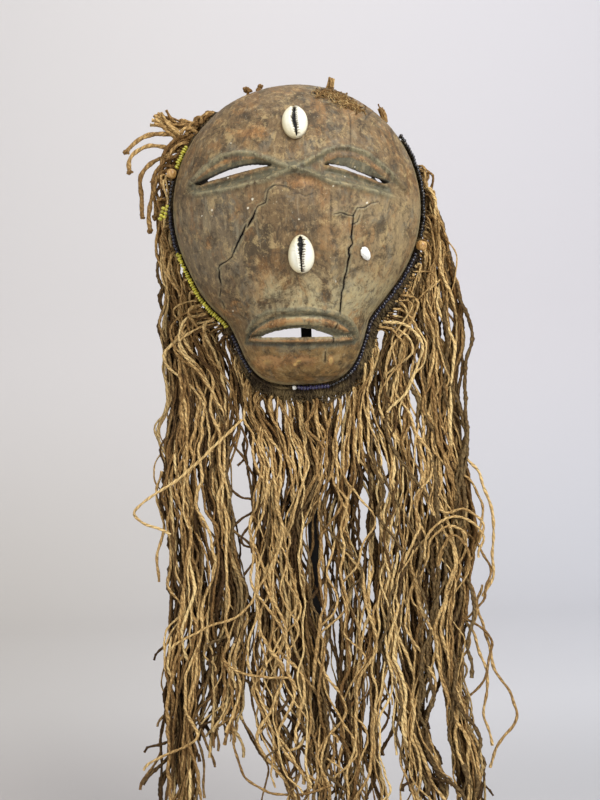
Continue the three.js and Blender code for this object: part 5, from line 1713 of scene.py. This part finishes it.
class GOURD_OT_beads(MaskOperator):
    """Strings the beads along the rim"""

    bl_idname = "gourd_mask.beads"
    bl_label = "Bead String"

    def execute(self, context):
        settings = settings_of(context)
        trim = settings.trim
        tree = Shop.get("bead_tree", bead_tree)
        draw = np.random.default_rng(9)
        for number, (name, start, end, colour, pitch, rows) in enumerate(BEAD_RUNS):
            count = max(6, int((end - start) * 1.2))
            lines = []
            for row in range(rows):
                line = []
                for angle in np.linspace(start, end, count):
                    out = BEAD_OFFSET + 0.25 * draw.normal() + row * 0.3
                    line.append(rim_point(angle, out, -BEAD_OFFSET + 0.2 * draw.normal() + row * 2.7))
                lines.append(catmull(line, count * 4))
            wide, long, variation = BEAD_LOOKS.get(colour, COMMON_LOOK)
            values = {
                "Pitch": pitch * MM, "Radius": trim.bead * wide, "Length": pitch * long * MM, "Variation": variation,
                "Seed": number, "Material": glass(settings, colour),
            }
            settle(tree.grow(name + "_strung", lines, values), "bead_" + colour, name)
        name, start, end = RIM_CORD
        line = [rim_point(angle, BEAD_OFFSET, -BEAD_OFFSET + 0.4) for angle in np.linspace(start, end, 14)]
        cord = cord_piece(
            name + "_twisted", [catmull(line, 60)], {"cord_tone": [0.2]}, settings, 0.0012, diameter=0.0022,
            material=dark_cord(settings),
        )
        settle(cord, "dark_cord", name)
        self.tassel(settings, tree, draw)
        return {"FINISHED"}

    def tassel(self, settings, tree, draw):
        """The short double row of yellow beads, the tie knot and the white bead."""
        middle = catmull(TASSEL_PATH, 12)
        lines = [middle + np.array([side, 0, 0.4 * side]) for side in (-1.6, 1.6)]
        values = {
            "Pitch": 0.0022, "Radius": 0.0017, "Length": 0.0023, "Variation": 0.14, "Seed": 40,
            "Material": glass(settings, "yellow"),
        }
        settle(tree.grow("bead_tassel_strung", lines, values), "bead_yellow", "bead_tassel_yellow")
        name, angle = TIE_KNOT
        spot = rim_point(angle, 4, -3.6)
        lines = [knot_line(spot, draw, 1.5), knot_line(spot + np.array([0.6, 0, 0.8]), draw, 1.2)]
        knot = cord_piece(
            name + "_tied", lines, {"cord_tone": [0.1, 0.3]}, settings, 0.001, diameter=0.0017,
            material=dark_cord(settings),
        )
        settle(knot, "dark_cord", name)


def turned_bead(name, centre, axis, radius, hole, length_share, material):
    """A turned bead with a hole along its axis."""
    rings, sides, half = 13, 24, radius * length_share
    profile = []
    for at in range(rings):
        turn = math.pi * at / (rings - 1)
        profile.append((hole + (radius - hole) * math.sin(turn) ** 0.75, -half * math.cos(turn)))
    profile += [(hole * 0.9, half * 0.5), (hole * 0.9, -half * 0.5)]
    spin = np.array(Vector(axis).to_track_quat("Z", "Y").to_matrix())
    vertices = []
    for distance, height in profile:
        for side in range(sides):
            turn = 2 * math.pi * side / sides
            vertices.append(spin @ np.array([distance * math.cos(turn), distance * math.sin(turn), height]) + centre)
    faces = []
    for ring in range(len(profile)):
        for side in range(sides):
            a, b = ring * sides + side, ring * sides + (side + 1) % sides
            ahead = ((ring + 1) % len(profile) - ring) * sides
            faces.append((a, b, b + ahead, a + ahead))
    return mesh_piece(name, vertices, faces, material)


class GOURD_OT_loose_beads(MaskOperator):
    """Makes the two wooden beads and the white bead"""

    bl_idname = "gourd_mask.loose_beads"
    bl_label = "Wooden and White Beads"

    def execute(self, context):
        settings = settings_of(context)
        wood = Shop.get("wood", lambda: wood_finish(settings.trim))
        for name, angle, radius in WOODEN_BEADS:
            centre = rim_point(angle, radius + 0.6, -radius - 0.4)
            along = rim_point(angle + 2, 0, 0) - rim_point(angle - 2, 0, 0)
            bead = turned_bead(name + "_turned", centre, along, radius * 0.98, 1.1, 0.88, wood)
            settle(bead, "wooden_bead", name)
        name, angle, radius = WHITE_BEAD
        white = Shop.get("white", lambda: glass_finish("glass_white", srgb(244, 242, 234), 0.12))
        centre = rim_point(angle, radius + 0.4, -radius - 0.4)
        settle(turned_bead(name + "_round", centre, (1, 0, 0.2), radius, 0.45, 0.9, white), "bead_white", name)
        return {"FINISHED"}


def face_place(at, lean, gap):
    """Turns and moves a piece from its own flat frame onto the face."""
    x, z = at
    step = 0.5
    slope_x = float(face_y(x + step, z) - face_y(x - step, z)) / (2 * step)
    slope_z = float(face_y(x, z + step) - face_y(x, z - step)) / (2 * step)
    outward = Vector((slope_x, -1, slope_z)).normalized()
    base = Vector((0, -1, 0)).rotation_difference(outward).to_matrix()
    turn = base @ Matrix.Rotation(-math.radians(lean), 3, "Y")
    middle = Vector((x, float(face_y(x, z)), z)) + outward * gap
    return np.array(turn), np.array(middle)


class GOURD_OT_shells(MaskOperator):
    """Makes the two cowries and the white chip on the cheek"""

    bl_idname = "gourd_mask.shells"
    bl_label = "Cowries and Chip"

    def execute(self, context):
        settings = settings_of(context)
        look = Shop.get("shell", lambda: shell_finish(settings.trim))
        for shape in COWRIES:
            self.cowrie(shape, look)
        self.chip()
        return {"FINISHED"}

    def cap(self, name, x, y, z, material, turn, middle, attributes):
        """A closed cap: the raised top, and one flat face as its back."""
        grid = numbered(len(x) - 1)
        faces = squares(grid).tolist() + [border(grid)[::-1].tolist()]
        points = np.stack([x, y, z], axis=-1).reshape(-1, 3) @ turn.T + middle
        return mesh_piece(name, points, faces, material, {key: value.ravel() for key, value in attributes.items()})

    def cowrie(self, shape, look):
        """One cowrie, its toothed side out."""
        width, thick, tall = COWRIE_SIZE
        u, v, share = disc(76)
        squeeze = 1 + shape["taper"] * v
        x, z = u * width / 2 * squeeze, v * tall / 2
        y = -thick * np.sqrt(np.maximum(0, 1 - share**2)) ** 0.8
        levels = np.linspace(-1, 1, 7)
        gap = x - np.interp(v, levels, shape["aperture"])
        mouth = smooth(1.0, 0.86, np.abs(v))
        opening = np.interp(v, levels, shape["opening"]) * (1 + 0.35 * lattice_noise(z, 0 * z, 1.1, 61)) * mouth
        # The aperture is a shallow groove; its darkness is painted shade.
        slit = smooth(opening + 0.4, opening - 0.15, np.abs(gap)) * mouth
        lip = bell(np.abs(gap) - opening - 1.8, 1.5) * mouth
        ragged = 0.8 * lattice_noise(z, 0 * z, 3.1, 62)
        teeth = smooth(-0.1, 0.7, np.sin(z * 2 * math.pi / TOOTH_PITCH + ragged + 1.2 * np.sign(gap)))
        reach = np.where(gap < 0, 1.6, 2.4) * (1 + 0.4 * lattice_noise(z, x, 2.0, 63))
        comb = smooth(opening + reach + 0.5, opening + 0.2, np.abs(gap)) * mouth
        y = y - 0.7 * lip + 0.6 * comb * teeth + 2.9 * slit
        y = np.where(share > 0.999, 0, y)
        stain = np.where(gap < 0, shape["left"], shape["right"]) * comb
        stain = stain * np.clip(0.35 + teeth + 0.6 * lattice_noise(x, z, 0.8, 64), 0, 1)
        turn, middle = face_place(shape["at"], shape["lean"], 0.6)
        values = {
            "gap": slit, "groove": np.clip(0.5 * comb * teeth + stain, 0, 1),
            "edge": np.clip(smooth(0.55, 1.0, share) * (0.45 + 0.55 * (u < 0)), 0, 1),
        }
        piece = self.cap(shape["name"] + "_shell", x, y, z, look, turn, middle, values)
        settle(piece, "cowrie", shape["name"])

    def chip(self):
        """The small white chip."""
        width, thick, tall = CHIP_SIZE
        u, v, share = disc(20)
        ragged = 1 + 0.07 * lattice_noise(u * 9, v * 9, 2.2, 51)
        x, z = u * width / 2 * (1 + 0.1 * v) * ragged, v * tall / 2 * ragged
        y = -thick * np.minimum(1, 1.5 * (1 - share)) ** 0.6 * (0.85 + 0.15 * lattice_noise(u * 9, v * 9, 1.6, 52))
        y = np.where(share > 0.999, 0, y)
        turn, middle = face_place(CHIP_AT, CHIP_LEAN, 0.6)
        piece = self.cap("cheek_chip_white", x, y, z, Shop.get("chip", chip_finish), turn, middle, {})
        settle(piece, "chip", "cheek_chip")


class GOURD_OT_tuft(MaskOperator):
    """Makes the frayed clump at the temple, the stubs in the rim and the frayed patch"""

    bl_idname = "gourd_mask.tuft"
    bl_label = "Clump, Stubs and Patch"

    def execute(self, context):
        settings = settings_of(context)
        draw = np.random.default_rng(13)
        self.clump(settings, draw)
        for number, stub in enumerate(STUBS):
            self.stub(settings, draw, number + 1, *stub)
        self.patch(settings, draw)
        return {"FINISHED"}

    def clump(self, settings, draw):
        """Twisted cords bundled together, with frayed ends."""
        lines, tones, widths = [], [], []
        middle = catmull(CLUMP_PATH, 30)

        def add(line, tone, width, size=0.7, reach=9):
            lines.append(kinked(line, draw, size, reach))
            tones.append(tone)
            widths.append(width)

        for _ in range(16):
            turn, out = draw.uniform(0, 6.3), draw.uniform(0.5, 4.2)
            share = np.linspace(0, 1, 30)
            line = middle.copy()
            line[:, 1] += out * np.cos(turn + 2.6 * share) * (0.75 + 0.4 * share)
            line[:, 2] += out * np.sin(turn + 2.6 * share) * (0.75 + 0.4 * share)
            line = line[: int(draw.integers(20, 31))]
            line[-5:] += np.outer(np.linspace(0, 1, 5) ** 2, draw.normal(0, 3, 3))
            add(line, draw.uniform(0.1, 0.8), draw.uniform(0.7, 1.25), 1.1, 12)
        # A thick frayed tassel runs from the band up and out to the clump's end.
        for _ in range(22):
            spread = draw.normal(0, 1, 3) * (1.3, 1.2, 0.9)
            tip = (-107 + draw.normal(0, 2), 7, 607 + draw.normal(0, 2))
            spots = np.array([(-87, 9, 582), (-91, 8.5, 590), (-95, 8, 596), (-101, 7.5, 601.5), tip])
            spots = spots + np.linspace(0.9, 1.7, 5)[:, None] * spread
            add(catmull(spots, 20), draw.uniform(0.15, 0.85), draw.uniform(0.7, 1.35), 1.3, 7)
        # Short cords out of the band, most of them ending in a knot.
        for number in range(42):
            angle = draw.uniform(287, 322)
            start = rim_point(angle, 1, draw.uniform(3, 9))
            leave = rim_point(angle, band_reach(angle) + 1.5, draw.uniform(3, 10))
            out = draw.uniform(5, 20) * (1 if angle < 312 else 0.7)
            way = np.array([-1, draw.normal(0, 0.2), draw.uniform(-0.5, 0.45)])
            spots = [start, leave, leave + way * out * 0.55]
            spots += [leave + way * out * 0.9 + [0, 0, -0.25 * out], leave + way * out + [0, 0, -0.6 * out]]
            tone = draw.uniform(0.0, 0.65)
            add(catmull(spots, 18), tone, draw.uniform(0.9, 1.45), 1.6, 8)
            if number % 3:
                add(knot_line(lines[-1][-1], draw, draw.uniform(1.3, 1.8)), 0.7 * tone, 0.85, 0, 9)
        piece = cord_piece("temple_clump_cords", lines, {"cord_tone": tones, "cord_width": widths}, settings, 0.0016)
        settle(piece, "cord", "temple_clump")

    def stub(self, settings, draw, number, foot, tip, width, low, high, knotted, tone):
        """A broken cord end in a hole."""
        lines, widths = [], []
        start, end = np.array([foot[0], -8, foot[1]]), np.array([tip[0], -8, tip[1]])
        start = start - (end - start) * 0.9
        for _ in range(16):
            spread = draw.normal(0, width * 0.16, 3)
            middle = (start + end) / 2 + spread * (0.4 * low + 0.6 * high)
            lines.append(catmull([start + spread * low, middle, end + spread * high + draw.normal(0, 0.5, 3)], 10))
            widths.append(width / 2.8 * draw.uniform(0.25, 0.45))
        if knotted:
            lines = [catmull([start, (start + end) / 2, end], 10) for _ in range(2)]
            lines += [knot_line(end + draw.normal(0, 0.8, 3), draw, draw.uniform(1.3, 1.8)) for _ in range(3)]
            widths = [1.2, 1.1, 1.0, 0.95, 0.9]
        attributes = {"cord_tone": [tone + draw.uniform(0, 0.3) for _ in lines], "cord_width": widths}
        piece = cord_piece(f"rim_cord_stub_{number}_frayed", lines, attributes, settings, 0.001)
        settle(piece, "frayed_fibre", f"rim_cord_stub_{number}")

    def patch(self, settings, draw):
        """Matted fibre lying on the upper right of the face."""
        lines, widths, tones = [], [], []
        for number in range(PATCH_FIBRES):
            share = draw.uniform(0, 1)
            coarse = number % 3 == 0
            x = PATCH_FROM[0] + (PATCH_TO[0] - PATCH_FROM[0]) * share + draw.normal(0, 1.5)
            z = PATCH_FROM[1] + (PATCH_TO[1] - PATCH_FROM[1]) * share
            z += math.sin(math.pi * share) * draw.uniform(-2, 8.5)
            heading = draw.uniform(0, 6.3) if draw.uniform() < 0.5 else draw.normal(-0.45, 0.6)
            reach, bend = draw.uniform(2.5, 7), draw.normal(0, 0.16)
            spots = []
            for step in np.linspace(0, 1, 8):
                x_at = x + reach * step * math.cos(heading + bend * reach * step)
                z_at = z + reach * step * math.sin(heading + bend * reach * step)
                limit = float(outline_radius(math.atan2(x_at - CENTRE_X, z_at - CENTRE_Z))) - 1.5
                away = math.hypot(x_at - CENTRE_X, z_at - CENTRE_Z)
                if away > limit:
                    x_at = CENTRE_X + (x_at - CENTRE_X) * limit / away
                    z_at = CENTRE_Z + (z_at - CENTRE_Z) * limit / away
                lift = 0.4 + 1.2 * math.sin(math.pi * step) * draw.uniform(0.1, 1)
                spots.append(face_place((x_at, z_at), 0, lift)[1])
            lines.append(kinked(np.array(spots), draw, 0.5 if coarse else 0.2, 1.5))
            widths.append(draw.uniform(0.3, 0.5) if coarse else draw.uniform(0.1, 0.2))
            tones.append(draw.uniform(-0.1, 0.45) if coarse else draw.uniform(0.1, 0.95))
        attributes = {"cord_tone": tones, "cord_width": widths}
        piece = cord_piece("frayed_patch_fibres", lines, attributes, settings, 0.0016, sides=4)
        settle(piece, "frayed_fibre", "frayed_patch")


class GOURD_OT_stand(MaskOperator):
    """Paints the rod and its plate"""

    bl_idname = "gourd_mask.stand"
    bl_label = "Stand"

    def execute(self, context):
        look = Shop.get("stand", lambda: stand_finish(settings_of(context).trim))
        for name in ("stand_rod", "stand_base"):
            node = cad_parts[name]
            node.data.materials.clear()
            node.data.materials.append(look)
        return {"FINISHED"}


OPERATORS = (
    GOURD_OT_stage, GOURD_OT_single_cords, GOURD_OT_gourd, GOURD_OT_shells, GOURD_OT_band, GOURD_OT_beads,
    GOURD_OT_loose_beads, GOURD_OT_fringe, GOURD_OT_tuft, GOURD_OT_stand,
)


class GOURD_PT_mask(bpy.types.Panel):
    """Lists the mask's pieces and settings"""

    bl_idname = "GOURD_PT_mask"
    bl_label = "Gourd Mask"
    bl_space_type = "VIEW_3D"
    bl_region_type = "UI"
    bl_category = "Gourd Mask"

    def draw(self, context):
        settings = settings_of(context)
        for operator in OPERATORS:
            self.layout.operator(operator.bl_idname)
        for group in (settings.gourd, settings.fringe, settings.trim, settings.stage):
            box = self.layout.box()
            for name in group.__annotations__:
                box.prop(group, name)


CLASSES = (GourdSettings, FringeSettings, TrimSettings, StageSettings, MaskSettings, *OPERATORS, GOURD_PT_mask)


def register():
    """Registers the classes and the settings."""
    for cls in CLASSES:
        bpy.utils.register_class(cls)
    bpy.types.Scene.gourd_mask = bpy.props.PointerProperty(type=MaskSettings)


def unregister():
    """Removes the settings and the classes."""
    del bpy.types.Scene.gourd_mask
    for cls in reversed(CLASSES):
        bpy.utils.unregister_class(cls)


def main():
    """Builds every piece in order."""
    register()
    for operator in OPERATORS:
        group, name = operator.bl_idname.split(".")
        getattr(getattr(bpy.ops, group), name)()


if __name__ == "__main__":
    main()
